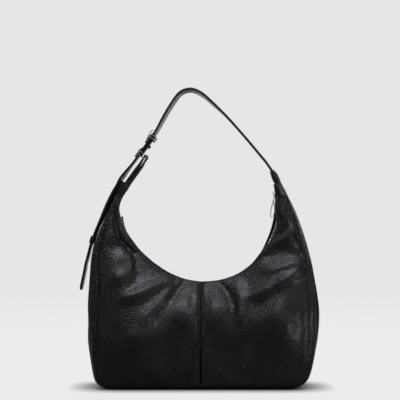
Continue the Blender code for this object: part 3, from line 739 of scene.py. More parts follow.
def add_stitches(name, geometry, follows, slot="leather"):
    attach(new_mesh(name, geometry, THREAD, angle=0), follows, slot=slot)


# One stitch: places along it, thickness shares and sinking at its ends.
STITCH_PITCH, STITCH_LENGTH, STITCH_RADIUS = 3.1, 2.35, 0.27
STITCH_STEPS = np.array([-0.5, -0.42, -0.2, 0.2, 0.42, 0.5])
STITCH_SWELL = np.array([0.35, 0.85, 1.0, 1.0, 0.85, 0.35])
STITCH_DIP = np.array([-0.75, -0.25, 0.25, 0.25, -0.25, -0.75])


def stitches(line, normals, lift, start, stop):
    """Row of stitches on a line, leaving start and stop mm free at its ends."""
    distances = lengths_along(line)
    room = distances[-1] - start - stop
    count = max(int(room / STITCH_PITCH), 1)
    parts = []
    for i in range(count):
        places = start + (i + 0.5) * room / count + STITCH_STEPS * STITCH_LENGTH
        points, outward = (np.stack([np.interp(places, distances, values[:, k])
                                     for k in range(3)], -1) for values in (line, normals))
        outward = unit(outward)
        points = points + outward * (lift + STITCH_DIP * STITCH_RADIUS)[:, None]
        parts.append(sweep(points, outward, circle(STITCH_RADIUS, 6), scale=STITCH_SWELL))
    return join(parts)


# ------------------------------------------------------------- cloth run ----
SLACK = {}            # (side, face) -> outward movement of the draped panel
SLACK_LIMIT = 1.7
LAST_FRAME = 26


def cubic_weights(x):
    return (-0.5 * x + x * x - 0.5 * x ** 3, 1 - 2.5 * x * x + 1.5 * x ** 3,
            0.5 * x + 2 * x * x - 1.5 * x ** 3, -0.5 * x * x + 0.5 * x ** 3)


def slack(side, face, across, down):
    """Outward movement of the draped cloth, smooth between its points."""
    if (side, face) not in SLACK:
        return 0.0
    field = SLACK[(side, face)]
    rows, columns = field.shape
    row = np.clip(across, 0, 1) * (rows - 1)
    column = np.clip(down, 0, 1) * (columns - 1)
    i = np.minimum(row.astype(int), rows - 2)
    j = np.minimum(column.astype(int), columns - 2)
    total = 0.0
    for row_step, row_weight in enumerate(cubic_weights(row - i), -1):
        for column_step, column_weight in enumerate(cubic_weights(column - j), -1):
            total = total + row_weight * column_weight * field[
                np.clip(i + row_step, 0, rows - 1), np.clip(j + column_step, 0, columns - 1)]
    return total


def drape(side, face, rows=61, columns=27):
    """Cloth run of one panel, pinned at its border and a little larger than its frame."""
    across, down = grid(np.linspace(0, 1, rows), np.linspace(0, 1, columns))
    rest = panel(side, face, across, down)
    start = rest * MM
    index = np.arange(rows * columns).reshape(rows, columns)
    quads = np.stack([index[:-1, :-1], index[1:, :-1], index[1:, 1:], index[:-1, 1:]],
                     -1).reshape(-1, 4)
    # faces look outwards, so that the pressure pushes out
    middle = start[rows // 2, columns // 2]
    if np.cross(start[rows // 2 + 1, columns // 2] - middle,
                start[rows // 2, columns // 2 + 1] - middle)[1] * face < 0:
        quads = quads[:, ::-1]
    mesh = bpy.data.meshes.new("cloth_run")
    mesh.from_pydata(start.reshape(-1, 3).tolist(), [], quads.tolist())
    cloth = bpy.data.objects.new("cloth_run", mesh)
    SCENE.collection.objects.link(cloth)
    border = np.zeros((rows, columns), bool)
    border[[0, -1], :] = True
    border[:, [0, 1, -1]] = True
    pins = cloth.vertex_groups.new(name="pin")
    pins.add([int(i) for i in index[border]], 1.0, 'REPLACE')
    modifier = cloth.modifiers.new("cloth", 'CLOTH')
    settings = modifier.settings
    settings.quality = 7
    settings.mass = 0.25
    settings.tension_stiffness = settings.compression_stiffness = 25
    settings.shear_stiffness = 12
    settings.bending_stiffness = 6
    settings.air_damping = 4
    settings.vertex_group_mass = "pin"
    settings.shrink_min = -0.035
    settings.use_pressure = True
    settings.uniform_pressure_force = 0.25
    modifier.collision_settings.use_collision = False
    modifier.point_cache.frame_start = 1
    modifier.point_cache.frame_end = LAST_FRAME
    for frame in range(1, LAST_FRAME + 1):
        SCENE.frame_set(frame)
    result = cloth.evaluated_get(bpy.context.evaluated_depsgraph_get())
    end = np.array([vertex.co for vertex in result.data.vertices]).reshape(rows, columns, 3)
    move = (end[..., 1] - start[..., 1]) * face / MM
    bpy.data.objects.remove(cloth, do_unlink=True)
    SCENE.frame_set(1)
    # even out single points, then limit how far any point moved
    for _ in range(2):
        pad = np.pad(move, 1, mode='edge')
        around = pad[2:, 1:-1] + pad[:-2, 1:-1] + pad[1:-1, 2:] + pad[1:-1, :-2]
        move = 0.5 * move + 0.125 * around
    move = SLACK_LIMIT * np.tanh(move / SLACK_LIMIT)
    fade = np.clip(np.minimum(np.minimum(down, 1 - down) * 9,
                              np.minimum(across * 22, (1 - across) * 12)), 0, 1)
    # the lower part of a panel is held flat by the base board
    free = np.clip((rest[..., 2] - 70) / 60, 0, 1)
    return move * fade * (0.12 + 0.88 * free * free * (3 - 2 * free))


for side in (-1, 1):
    for face in (-1, 1):
        SLACK[(side, face)] = drape(side, face)


def skin(side, face, across, down, inset=0.0, lift=0.0):
    """Panel with the cloth run's slack."""
    points = panel(side, face, across, down, inset, lift)
    points[..., 1] += face * slack(side, face, across, down)
    return points


# -------------------------------------------------------- shell and lining ----
SIDES = ((-1, "left"), (1, "right"))
FACES = ((-1, "front"), (1, "back"))
SEAM_GAP = 0.0004       # share of the belt left open on each side of the base corner
MIDDLE_GAP = 0.12       # each panel half stops this far from x = 0
# columns crowd at the middle seam, belt points at both side seams
COLUMNS_END = 0.0185
PANEL_COLUMNS = np.concatenate([
    [0.0, 0.0005, 0.0015, 0.003, 0.0045, 0.006, 0.0075, 0.009, 0.0105, 0.012, 0.0135, 0.016],
    COLUMNS_END + (1 - COLUMNS_END) * np.linspace(0, 1, 250)])
even = np.linspace(-1, 1, 81)
BELT_WIDTHS = np.sign(even) * (1 - (1 - np.abs(even)) ** 1.35)


def add_panels():
    across, down = grid(PANEL_COLUMNS, spread(110, ends=0.6))
    for side, side_name in SIDES:
        for face, face_name in FACES:
            layers = [skin(side, face, across, down, inset=inset) for inset in (0.0, SHELL)]
            for layer in layers:
                layer[0, :, 0] = side * MIDDLE_GAP
            add("shell_%s_%s" % (face_name, side_name), sheet(*layers), LEATHER, "bag",
                "%s_panel_%s" % (face_name, side_name), angle=60)


def add_gussets():
    along, width = grid(np.linspace(CORNER + SEAM_GAP, 1.0, 230), BELT_WIDTHS)
    for side, name in SIDES:
        layers = [belt(side, along, width, inset) for inset in (0.0, SHELL)]
        add("side_gusset_" + name, sheet(*layers), LEATHER, "bag", "gusset_" + name, angle=60)


def whole_belt(along, width, inset):
    """Belt over both halves; a negative along lies left of the middle."""
    left, right = (belt(side, np.abs(along), width, inset) for side in (-1, 1))
    return np.where((along < 0)[..., None], left, right)


def whole_skin(face, across, down, inset):
    left, right = (skin(side, face, np.abs(across), down, inset, LINING_LIFT)
                   for side in (-1, 1))
    return np.where((across < 0)[..., None], left, right)


def add_base():
    spots = grid(mirrored(CORNER - SEAM_GAP, 90), BELT_WIDTHS)
    add("base_shell", sheet(whole_belt(*spots, 0.0), whole_belt(*spots, SHELL)), LEATHER, "bag",
        "base_panel", angle=60)
    spots = grid(mirrored(0.29, 40), np.linspace(-0.74, 0.74, 25))
    add("base_stiffener", sheet(whole_belt(*spots, 2.1), whole_belt(*spots, 3.3)), BOARD, "bag",
        "base_board")


def lining_layer(inset):
    """One layer round the section: down the front, over the belt, up the back."""
    across = mirrored(0.85, 70)
    spots = grid(across, np.linspace(0, 1, 26))
    front, back = (whole_skin(face, *spots, inset) for face in (-1, 1))
    middle = whole_belt(*grid(across, np.linspace(-1, 1, 33)[1:-1]), inset)
    return np.concatenate([front, middle, back[:, ::-1]], axis=1)


def add_lining():
    add("bag_lining", sheet(lining_layer(3.5), lining_layer(4.1)), LINING, "bag", "lining",
        angle=60)


def add_pocket():
    """Slip pocket on the lining's back wall, with a thicker hem at its top."""
    top = 0.4
    across, down = grid(mirrored(0.16, 24), np.linspace(top, 0.85, 30))
    wall_layer = whole_skin(1, across, down, 4.6)
    free_layer = whole_skin(1, across, down, 5.8)
    free_layer[..., 1] -= 0.8 * gauss(down - top, 0.03)
    add("inner_slip_pocket", sheet(wall_layer, free_layer), LINING, "bag", "slip_pocket")


add_panels()
add_gussets()
add_base()
add_lining()
add_pocket()


# ------------------------------------------------- rims and middle stitches ----
RIM_STITCH = 5.0        # from rim to stitch row
MIDDLE_STITCH = 4.55    # from middle seam to stitch row


def add_rim_binding(face, name):
    deg = TIP_DEG * np.linspace(-0.995, 0.995, 420)
    y = face * np.interp(np.abs(deg), *RIM_CURVE) - face * 1.9
    points = on_track(deg, y, mouth_radius(deg, face) + 1.5)
    share = np.linspace(0, 1, len(deg))
    wobble = 1 + 0.05 * np.sin(share * 97) + 0.04 * np.sin(share * 41 + 1)
    add("mouth_binding_" + name,
        sweep(points, to_centre(deg), bar_profile(2.7, 5.0, 1.2), scale=wobble),
        EDGE_LEATHER, "bag", "rim_binding_" + name)


def skin_stitches(rows, face, start, stop):
    """Stitches on the middle of three neighbouring rows of skin points."""
    points = np.stack(rows, 1)
    normals = grid_normals(points)[:, 1]
    normals = normals * np.sign(normals[:, 1:2] * face)
    return stitches(points[:, 1], normals, lift=0.02, start=start, stop=stop)


def add_face_stitches(face, name):
    """One row under the rim and one on each side of the middle seam."""
    across = np.linspace(0.01, 0.985, 300)
    down = np.linspace(0.045, 0.985, 260)
    rim_rows, middle_rows = [], []
    for side in (-1, 1):
        depth = RIM_STITCH / rim_span(side, face, across)
        rim_rows.append(skin_stitches(
            [skin(side, face, across, depth * k) for k in (0.9, 1.0, 1.1)], face, 3, 4))
        reach = MIDDLE_STITCH / HALVES[side][0].length
        middle_rows.append(skin_stitches(
            [skin(side, face, np.full_like(down, reach * k), down)
             for k in (0.85, 1.0, 1.15)], face, 2, 2))
    add_stitches("rim_stitches_" + name, join(rim_rows), "bag")
    add_stitches("centre_stitches_" + name, join(middle_rows), "bag")


for face, face_name in FACES:
    add_rim_binding(face, face_name)
    add_face_stitches(face, face_name)


# ------------------------------------------- collars round the horns' ends ----
def horn_section(side, along, grow):
    """Closed ring round the horn, grown outwards by grow."""
    down = np.linspace(0, 1, 9)
    width = np.linspace(-1, 1, 13)[1:-1]
    front = skin(side, -1, np.full_like(down, along), down)
    back = skin(side, 1, np.full_like(down, along), down)[::-1]
    gap = np.linspace(0, 1, 6)[1:-1]
    across_mouth = back[-1] + (front[0] - back[-1]) * gap[:, None]
    ring = np.concatenate([front, belt(side, np.full_like(width, along), width), back,
                           across_mouth])
    # round the ring a little, then push it out from its middle
    for _ in range(3):
        ring = 0.5 * ring + 0.25 * (np.roll(ring, 1, 0) + np.roll(ring, -1, 0))
    return ring + unit(ring - ring.mean(0)) * grow


def add_collar(side, name):
    rings = 14
    places = np.linspace(0.955, 1.0, rings)
    bulge = 1.0 + 0.45 * np.sin(np.linspace(0, np.pi, rings)) ** 0.6
    outer = np.array([horn_section(side, place, 0.35 + more)
                      for place, more in zip(places, bulge)])
    inner = np.array([horn_section(side, place, -0.3) for place in places])
    count = outer.shape[1]
    layer = rings * count
    faces = []
    for i in range(rings - 1):
        here, there = i * count, (i + 1) * count
        for j in range(count):
            k = (j + 1) % count
            quad = (here + j, there + j, there + k, here + k)
            faces.append(quad)
            faces.append(tuple(corner + layer for corner in quad[::-1]))
    for here, order in ((0, 1), (layer - count, -1)):
        for j in range(count):
            k = (j + 1) % count
            faces.append((here + j, here + k, here + k + layer, here + j + layer)[::order])
    points = np.concatenate([outer.reshape(-1, 3), inner.reshape(-1, 3)])
    add("horn_collar_" + name, (points, faces), EDGE_LEATHER, "bag")


for side, side_name in SIDES:
    add_collar(side, side_name)

# -------------------------------------------------------------------- zip ----
ZIP_FROM, ZIP_TO, SLIDER_DEG = -79.0, 102.5, 98.5
TOOTH_PITCH_DEG = math.degrees(2.0 / ZIP_RADIUS)
# One tooth: y from the zip's centre line, width share, height share.
TOOTH = np.array([(-0.75, 0.30, 0.45), (-0.45, 0.52, 0.72), (0.2, 0.40, 0.80),
                  (0.9, 0.55, 0.90), (1.7, 0.62, 0.95), (2.6, 0.62, 0.95), (2.9, 0.50, 0.75)])


def lining_y(deg, face):
    """Half width inside the lining at the zip's radius."""
    side = 1 if deg >= 0 else -1
    across = abs(deg) / TIP_DEG
    gap = 1.3
    radius = float(mouth_radius(deg, face)) + gap
    span = max(float(rim_span(side, face, across, gap)), 1.0)
    down = min(max(ZIP_RADIUS - radius, 0.0) / span, 1.0)
    spot = skin(side, face, np.array([across]), np.array([down]), 4.1, LINING_LIFT)
    return max(abs(float(spot[0, 1])) - 0.3, 4.5)


def add_zip_tape(face, name):
    """Cloth from beside the teeth to the lining, sagging a little between."""
    inner_y = 2.2
    deg = np.linspace(ZIP_FROM - 3, ZIP_TO + 2.5, 260)
    edge = np.array([lining_y(place, face) for place in deg])[:, None]
    deg = deg[:, None]
    share = np.linspace(0, 1, 13)[None, :]
    y = inner_y + share * (edge - inner_y)
    sag = (0.9 * np.sin(np.pi * share) * (1 + 0.15 * np.sin(deg * 0.31))
           * np.clip((edge - 5) / 8, 0, 1))
    layers = [on_track(deg, face * y, ZIP_RADIUS + rise + sag) for rise in (0.15, 0.8)]
    add("zip_tape_cloth_" + name, sheet(*layers), ZIP_TAPE, "bag", "zip_tape_" + name)


def add_zip_teeth(face, name):
    """Teeth of one side, set between those of the other."""
    profile = bar_profile(2.0, 2.0, 0.5, 1)
    parts = []
    deg = ZIP_FROM + (0.0 if face < 0 else TOOTH_PITCH_DEG / 2)
    while deg < ZIP_TO - 0.3:
        parts.append(sweep(on_track(deg, face * TOOTH[:, 0]), to_centre(deg), profile,
                           scale=TOOTH[:, [2, 1]]))
        deg += TOOTH_PITCH_DEG
    add("zip_chain_" + name, join(parts), SILVER, "bag", "zip_teeth_" + name, angle=35)


def add_zip_stop(name, start, end):
    middle = (start + end) / 2
    length = 2 * math.radians((end - start) / 2) * ZIP_RADIUS
    points = on_track(middle, np.array([-2.9, -2.4, -0.5, 0.5, 2.4, 2.9]))
    shares = ((0.7, 0.8), (1, 1), (0.85, 1), (0.85, 1), (1, 1), (0.7, 0.8))
    add("zip_end_stop_" + name,
        sweep(points, to_centre(middle), bar_profile(2.0, length, 0.6, 3), scale=shares),
        SILVER, "bag", "zip_stop_" + name, angle=40)


for face, face_name in FACES:
    add_zip_tape(face, face_name)
    add_zip_teeth(face, face_name)
add_zip_stop("left", ZIP_FROM - 3.0, ZIP_FROM - 0.5)
add_zip_stop("right", ZIP_TO + 0.3, ZIP_TO + 2.3)

# ------------------------------------------------------------- zip slider ----
SLIDER_ANGLE = math.radians(SLIDER_DEG - 90)
# up points to the mouth's centre, back along the zip
SLIDER_UP = np.array([-math.cos(SLIDER_ANGLE), 0.0, -math.sin(SLIDER_ANGLE)])
SLIDER_BACK = np.array([math.sin(SLIDER_ANGLE), 0.0, -math.cos(SLIDER_ANGLE)])
SLIDER_AT = on_track(SLIDER_DEG, 0.0)
PLATE_SIDE = ((-6, 3.0), (-4.6, 4.3), (-1.5, 4.4), (2.0, 3.7), (5.0, 3.1), (6, 2.4))  # back, y
PLATE = (*PLATE_SIDE, *((back, -y) for back, y in reversed(PLATE_SIDE)))
POST = ((-3.0, 0.25), (-3.0, -0.25), (-1.2, -0.25), (-1.2, 0.25))
BRIDGE = ((-4.3, 2.6), (-4.2, 4.2), (-3.4, 5.6), (-1.8, 6.2), (0, 6.35), (1.8, 6.2),
          (3.4, 5.6), (4.2, 4.2), (4.3, 2.6))   # back, up
EYE_UP = 3.95           # height at which pull and loop hang under the bridge
EYE_OFFSET = 0.85       # pull and loop hang this far either side of the middle


def at_slider(back, y, up):
    return SLIDER_AT + SLIDER_BACK * back + np.array([0, y, 0]) + SLIDER_UP * up


def prism(outline, low, high):
    """Flat (back, y) outline raised from low to high."""
    bm = bmesh.new()
    corners = [bm.verts.new(Vector(at_slider(back, y, low).tolist())) for back, y in outline]
    edges = [bm.edges.new((corners[i - 1], corners[i])) for i in range(len(corners))]
    bmesh.ops.triangle_fill(bm, use_beauty=True, use_dissolve=False, edges=edges)
    raised = bmesh.ops.extrude_face_region(bm, geom=bm.faces[:])["geom"]
    bmesh.ops.translate(bm, vec=Vector(at_slider(0, 0, high) - at_slider(0, 0, low)),
                        verts=[part for part in raised if isinstance(part, bmesh.types.BMVert)])
    bmesh.ops.recalc_face_normals(bm, faces=bm.faces[:])
    bm.verts.index_update()
    points = np.array([tuple(vertex.co) for vertex in bm.verts])
    faces = [tuple(vertex.index for vertex in face.verts) for face in bm.faces]
    bm.free()
    return points, faces


def add_slider():
    """Two shaped plates, a post between them and a bridge over the top."""
    bridge = [at_slider(back, 0.0, up) for back, up in BRIDGE]
    normals = [SLIDER_BACK * back + SLIDER_UP * (up - 2.0) for back, up in BRIDGE]
    parts = [prism(PLATE, 1.3, 2.9), prism(PLATE, -2.3, -1.3), prism(POST, -1.5, 1.5),
             sweep(bridge, normals, bar_profile(0.9, 2.6, 0.35, 2))]
    body = new_mesh("zip_slider_body", join(parts), SILVER, angle=35)
    bevel = body.modifiers.new("edge", 'BEVEL')
    bevel.width = 0.25 * MM
    bevel.segments = 2
    bevel.limit_method = 'ANGLE'
    bevel.angle_limit = math.radians(35)
    bevel.harden_normals = False
    attach(body, "slider", ("zip_slider",))


def hanging(back, tilt):
    """Placing function (down, y, out) and out direction of a part hung from the bridge."""
    eye = at_slider(back, 0.0, EYE_UP)
    angle = math.radians(tilt)
    down_axis = SLIDER_BACK * math.cos(angle) + SLIDER_UP * math.sin(angle)
    out_axis = np.cross(Y_AXIS, down_axis)

    def place(down, y, out):
        return eye + down_axis * down + np.array([0, y, 0]) + out_axis * out

    return place, out_axis


def add_pull():
    """A pin, two cheeks and a long flat bar with a rounded end."""
    place, out_axis = hanging(EYE_OFFSET, 24.0)
    parts = [sweep([place(0, y, 0) for y in (-3.0, 3.0)], out_axis, circle(0.45, 10))]
    for sign in (-1, 1):
        cheek = [place(down, sign * y, 0) for down, y in
                 ((-0.6, 2.5), (2.0, 2.5), (5.0, 2.5), (7.0, 1.8), (8.6, 1.0))]
        parts.append(sweep(cheek, out_axis, bar_profile(1.0, 1.1, 0.3, 2)))
    # distance down the bar, width share
    stations = ((7.4, 1.35), (8.0, 1.7), (9.0, 1.9), (12.0, 1.9), (16.0, 1.85), (19.5, 1.75),
                (21.2, 1.5), (22.1, 1.0), (22.6, 0.35))
    parts.append(sweep([place(down, 0, 0) for down, _ in stations], out_axis,
                       bar_profile(1.0, 2.0, 0.32, 3),
                       scale=[(1.1, wide) for _, wide in stations]))
    add("zip_pull_bar", join(parts), SILVER, "pull", "zip_pull", angle=40)


def add_drop_loop():
    """A long thin drop of round wire on a stem, lying in the X-Z plane."""
    place, out_axis = hanging(-EYE_OFFSET, 15.0)
    centre, half_length, half_width = 24.6, 11.0, 3.0
    drop = []
    for angle in np.linspace(0, 2 * math.pi, 61)[:-1]:
        down = centre - half_length * math.cos(angle)
        share = (down - (centre - half_length)) / (2 * half_length)
        drop.append(place(down, 4.0, half_width * math.sin(angle) * (0.62 + 0.5 * share)))
    stem = [place(down, y, 0) for down, y in
            ((0, -1.9), (0, 2.6), (0.4, 3.6), (1.6, 4.05), (6.0, 4.05), (13.9, 4.0))]
    parts = [sweep(drop, Y_AXIS, circle(0.52, 10), closed=True),
             sweep(stem, out_axis, circle(0.45, 10))]
    add("zip_drop_loop", join(parts), SILVER, "loop", "zip_loop")


add_slider()
add_pull()
add_drop_loop()

# --------------------------------------------------------- strap and tabs ----
# Blends between bodies, with their start and end places in metres.
HANDLE_BLEND = ("bag", "handle", (0.0, 0.0, 0.3055), (0.0, 0.0, 0.3345))
LOOSE_BLEND = ("bag", "loose_end", (-0.1606, 0, 0.2150), (-0.1668, 0, 0.1910))
RUN_COS, RUN_SIN = math.cos(math.radians(RUN_DEG)), math.sin(math.radians(RUN_DEG))
RUN_OUT = np.array([-RUN_SIN, 0.0, RUN_COS])
# Turn of the strap about its own line: share of length, degrees.
STRAP_TWIST = ((0.0, 1.0), (0.20, 2.0), (0.27, 0.5), (0.34, -6.0), (0.41, -10.5),
               (0.48, -11.0), (0.55, -10.0), (0.61, -7.0), (0.66, -2.5), (0.72, -2.0),
               (0.76, -10.0), (0.80, -11.0), (0.86, -8.0), (0.93, -4.0), (1.0, -2.5))
LEFT_TAB = ((-113.2, 290.5), (-106.6, 301.9), (-100.2, 311.0), (-93.8, 319.8), (-87.6, 328.2))
RIGHT_TAB = ((115.6, 292.5), (114.4, 299.5), (111.6, 306.5), (107.6, 314.6), (104.4, 319.6))


def on_run(up, y, out):
    """Point by the straight run: up along it, out from it away from the arch."""
    return np.array([RUN_START[0] + RUN_COS * up - RUN_SIN * out, y,
                     RUN_START[1] + RUN_SIN * up + RUN_COS * out])


def strap_section(half, thick, edge):
    """(out, y) outline: domed faces with a stitch groove, and round edges."""
    edge = min(edge, thick * 0.92, half * 0.6)
    outline = []
    for sign in (1, -1):
        for k in range(9):
            y = sign * (half - edge) * (k / 4 - 1)
            dome = 0.10 * (1 - (y / max(half, 0.1)) ** 2)
            groove = -0.22 * gauss(abs(y) - (half - 2.6), 0.45) if half > 6 else 0.0
            outline.append((sign * (thick + dome + groove), y))
        for angle in np.radians((60, 30, 0, -30, -60)):
            outline.append((sign * thick * math.sin(angle),
                            sign * (half - edge + edge * math.cos(angle))))
    return outline


def flat_strap(points, thickness, width, count, round_start=False, round_end=False, wave=0.0,
               edge=1.1, twist=None, sink=0.0):
    """Leather strap along an x, z curve: its geometry, and the rail its stitches follow.

    thickness is a number or a function of the share of length, and twist such a function.
    """
    path = Path(points)
    share = spread(count, ends=0.35) if round_start or round_end else np.linspace(0, 1, count)
    line = np.insert(path.at(share), 1, 0.0, axis=1)
    tangents = np.gradient(line, axis=0)
    normals = unit(np.stack([-tangents[:, 2], 0 * tangents[:, 0], tangents[:, 0]], -1))
    distance = share * path.length
    half = np.full(count, width / 2.0)
    thick = thickness(share) if callable(thickness) else np.full(count, float(thickness))
    radius = width / 2.0
    for rounded, to_end in ((round_start, distance), (round_end, path.length - distance)):
        if rounded:
            inside = np.minimum(to_end + 0.25, radius)
            arc = np.sqrt(np.maximum(radius * radius - (radius - inside) ** 2, 0.05))
            half = np.minimum(half, arc)
            thick = thick * (0.55 + 0.45 * np.clip(to_end / 1.2, 0, 1))
    half = half * (1 + wave * np.sin(distance / 9.0))
    widths = np.tile(Y_AXIS, (count, 1))
    if twist:
        # turned about its own line, so that a little of one face shows
        turn = np.radians(twist(share))[:, None]
        line = line + normals * (sink * np.degrees(np.maximum(-turn, 0)))
        widths = Y_AXIS * np.cos(turn) - normals * np.sin(turn)
        normals = normals * np.cos(turn) + Y_AXIS * np.sin(turn)
    placed = []
    for i in range(count):
        section = strap_section(half[i], thick[i] / 2, edge)
        placed += [line[i] + normals[i] * out + widths[i] * y for out, y in section]
    faces = tube_walls(count, len(section)) + end_caps(count, len(section))
    return (np.array(placed), faces), (line, normals, half, thick, widths)


def strap_stitches(rail, inset=2.6, start=3.0, stop=3.0, faces=(1, -1)):
    """Rows near both edges; face 1 is the outer one and -1 the inner one."""
    wide_enough = rail[2] > inset + 3
    line, normals, half, thick, widths = (values[wide_enough] for values in rail)
    parts = []
    for sign in faces:
        for edge_sign in (1, -1):
            row = (line + normals * (sign * (thick / 2 - 0.12))[:, None]
                   + widths * (edge_sign * (half - inset))[:, None])
            parts.append(stitches(row, normals * sign, lift=-0.02, start=start, stop=stop))
    return join(parts)


def add_strap():
    """From the right tab over the arch, through the ring and down to the keeper."""
    strap, rail = flat_strap(STRAP_PATH, 3.3, 22.0, 420, wave=0.004, sink=0.09,
                             twist=lambda share: np.interp(share, *zip(*STRAP_TWIST)))
    add("shoulder_strap", strap, STRAP_LEATHER, HANDLE_BLEND, "strap", "strap_lower_run")
    add_stitches("strap_stitches", strap_stitches(rail, start=4, stop=6), HANDLE_BLEND)


def add_loose_end():
    """The strap's end below the keeper."""
    strap, rail = flat_strap(LOOSE_PATH, 3.1, 21.6, 90, round_end=True,
                             twist=lambda share: -3.0 - 2.5 * share)
    add("strap_loose_end", strap, STRAP_LEATHER, LOOSE_BLEND, "strap_end")
    add_stitches("loose_end_stitches", strap_stitches(rail, start=2, stop=1), LOOSE_BLEND)


def add_keeper():
    """Band round the strap's lower run."""
    path, place = Path(LOWER_RUN), 0.925
    half_width, inner, outer = 12.5, -2.4, 2.9
    centre = np.insert(path.at(place), 1, 0.0)
    up_axis = np.insert(-path.along(place), 1, 0.0)
    out_axis = np.array([-up_axis[2], 0, up_axis[0]])
    outline = round_rect(-half_width, half_width, inner, outer, 1.4, 6)
    band = np.array([centre + Y_AXIS * y + out_axis * out for y, out in outline])
    normals = band - (centre + out_axis * (inner + outer) / 2)
    normals = normals - (normals @ up_axis)[:, None] * up_axis
    add("strap_keeper_band", sweep(band, normals, bar_profile(1.5, 10.5, 0.6), closed=True),
        EDGE_LEATHER, "bag", "strap_keeper")


def add_left_tab():
    """Up from the horn, round the ring's inner bar and down again."""
    path = Path((*LEFT_TAB, on_run(9.0, 0, -10.5)[[0, 2]]))
    share = np.linspace(0, 1, 36)
    middle, travel = path.at(share), path.along(share)
    half_gap = np.interp(share, (0, 0.2, 0.7, 1), (2.3, 2.35, 2.3, 2.2))
    offset = np.stack([-travel[:, 1], travel[:, 0]], -1) * half_gap[:, None]
    bend = [on_run(15.0 + 2.6 * math.sin(angle), 0, -10.4 + 2.5 * math.cos(angle))[[0, 2]]
            for angle in np.radians(np.linspace(0, 180, 15))]
    line = [*(middle + offset)[::5], *bend, *(middle - offset)[::-5]]
    # thinner where it bends round the bar
    tab, rail = flat_strap(line, lambda share: 4.1 - 1.7 * np.exp(-((share - 0.5) / 0.14) ** 4),
                           20.5, 230, edge=0.9)
    add("left_tab_fold", tab, EDGE_LEATHER, HANDLE_BLEND, "tab_left", "ring_tab")
    add_stitches("left_tab_stitches", strap_stitches(rail, inset=2.2, start=8, stop=8),
                 HANDLE_BLEND, "edge_leather")


def right_tab_thickness(share):
    return 3.6 + 6.2 * np.sin(math.pi * np.clip(0.12 + 0.80 * (1 - share), 0, 1)) ** 0.9


def add_right_tab():
    """Leaf-shaped fold that holds the end of the strap."""
    tab, rail = flat_strap(RIGHT_TAB, right_tab_thickness, 22.6, 110, round_start=True,
                           round_end=True, edge=1.6)
    add("right_tab_leaf", tab, EDGE_LEATHER, "bag", "tab_right")
    add_stitches("right_tab_stitches", strap_stitches(rail, inset=2.4, start=1, stop=1), "bag",
                 "edge_leather")


add_strap()
add_loose_end()
add_keeper()
add_left_tab()
add_right_tab()

# --------------------------------------------------------------- hardware ----
RING_HALF = 12.6        # y of the side loops and of the ends of the inner bars
# Name, node replaced; frame from, to; side loops from, to, inner reach, wire width;
# inner bar's out place and radius.
RINGS = (
    ("lower_strap_ring", "strap_ring", 7.6, 22.4, 12.6, 17.4, -12.0, 1.15, -10.4, 1.15),
    ("buckle_outer_frame", "buckle_frame", 33.6, 48.4, 43.6, 47.4, -7.4, 1.1, -6.2, 0.85),
)
TONGUE_PIN = (39.0, 4.2)    # up, out of the bar that the tongue turns on


def frame_ring(start, end):
    """Rounded rectangle of flat bar, parallel to the strap."""
    points = [on_run(up, y, 3.2) for up, y in round_rect(start, end, -13.0, 13.0, 2.2, 7)]
    return sweep(points, RUN_OUT, bar_profile(2.2, 2.0, 0.55), closed=True)


def side_loop(start, end, inner, y, wire):
    """Rounded rectangle beside the strap, seen open from the front."""
    points = [on_run(up, y, out) for up, out in round_rect(start, end, inner, 2.6, 1.3, 6)]
    return sweep(points, Y_AXIS, bar_profile(1.5, wire, 0.4, 3), closed=True)


def cross_bar(up, out, half, radius):
    """Round bar across the strap with narrowed ends."""
    points = [on_run(up, y, out) for y in (-half, -half + 0.6, half - 0.6, half)]
    return sweep(points, RUN_OUT, circle(radius, 14), scale=(0.7, 1, 1, 0.7))


def add_rings():
    for (name, node, frame_start, frame_end, loop_start, loop_end, inner, wire,
         bar_out, bar_radius) in RINGS:
        parts = [frame_ring(frame_start, frame_end)]
        parts += [side_loop(loop_start, loop_end, inner, y, wire)
                  for y in (-RING_HALF, RING_HALF)]
        parts.append(cross_bar((loop_start + loop_end) / 2, bar_out, RING_HALF, bar_radius))
        add(name, join(parts), SILVER, "handle", node, angle=40)
    add("buckle_cross_bar", cross_bar(*TONGUE_PIN, 11.8, 0.9), SILVER, "handle", "buckle_bar",
        angle=40)


def add_buckle_keeper():
    """Loop round both layers of the strap, within the buckle's frame; its dark colour is painted
    shade under the buckle's bar.
    """
    up, inner, outer = 41.2, -7.4, 2.4
    outline = round_rect(-RING_HALF, RING_HALF, inner, outer, 1.2, 5)
    points = np.array([on_run(up, y, out) for y, out in outline])
    normals = points - on_run(up, 0.0, (inner + outer) / 2)
    add("buckle_keeper_loop", sweep(points, normals, bar_profile(1.0, 2.1, 0.4, 3), closed=True),
        DARK_METAL_AND_SHADE, "handle", angle=45)


def add_tongue():
    """Eye round the bar and a tapering arm."""
    eye = [on_run(TONGUE_PIN[0] + along, 0, TONGUE_PIN[1] + out) for along, out in circle(1.5, 24)]
    # up, out, thickness share, width share
    stations = ((40.3, 5.3, 1, 1), (43.0, 5.75, 1, 1), (47.0, 6.0, 1, 0.95),
                (51.0, 5.95, 1, 0.85), (54.0, 5.3, 0.95, 0.7), (56.4, 4.3, 0.8, 0.5),
                (57.2, 3.9, 0.45, 0.3))
    arm = [on_run(up, 0, out) for up, out, _, _ in stations]
    parts = [sweep(eye, Y_AXIS, bar_profile(2.4, 0.9, 0.3, 2), closed=True),
             sweep(arm, RUN_OUT, bar_profile(1.2, 2.4, 0.45, 3),
                   scale=[station[2:] for station in stations])]
    add("buckle_tongue", join(parts), SILVER, "prong", "buckle_prong", angle=45)


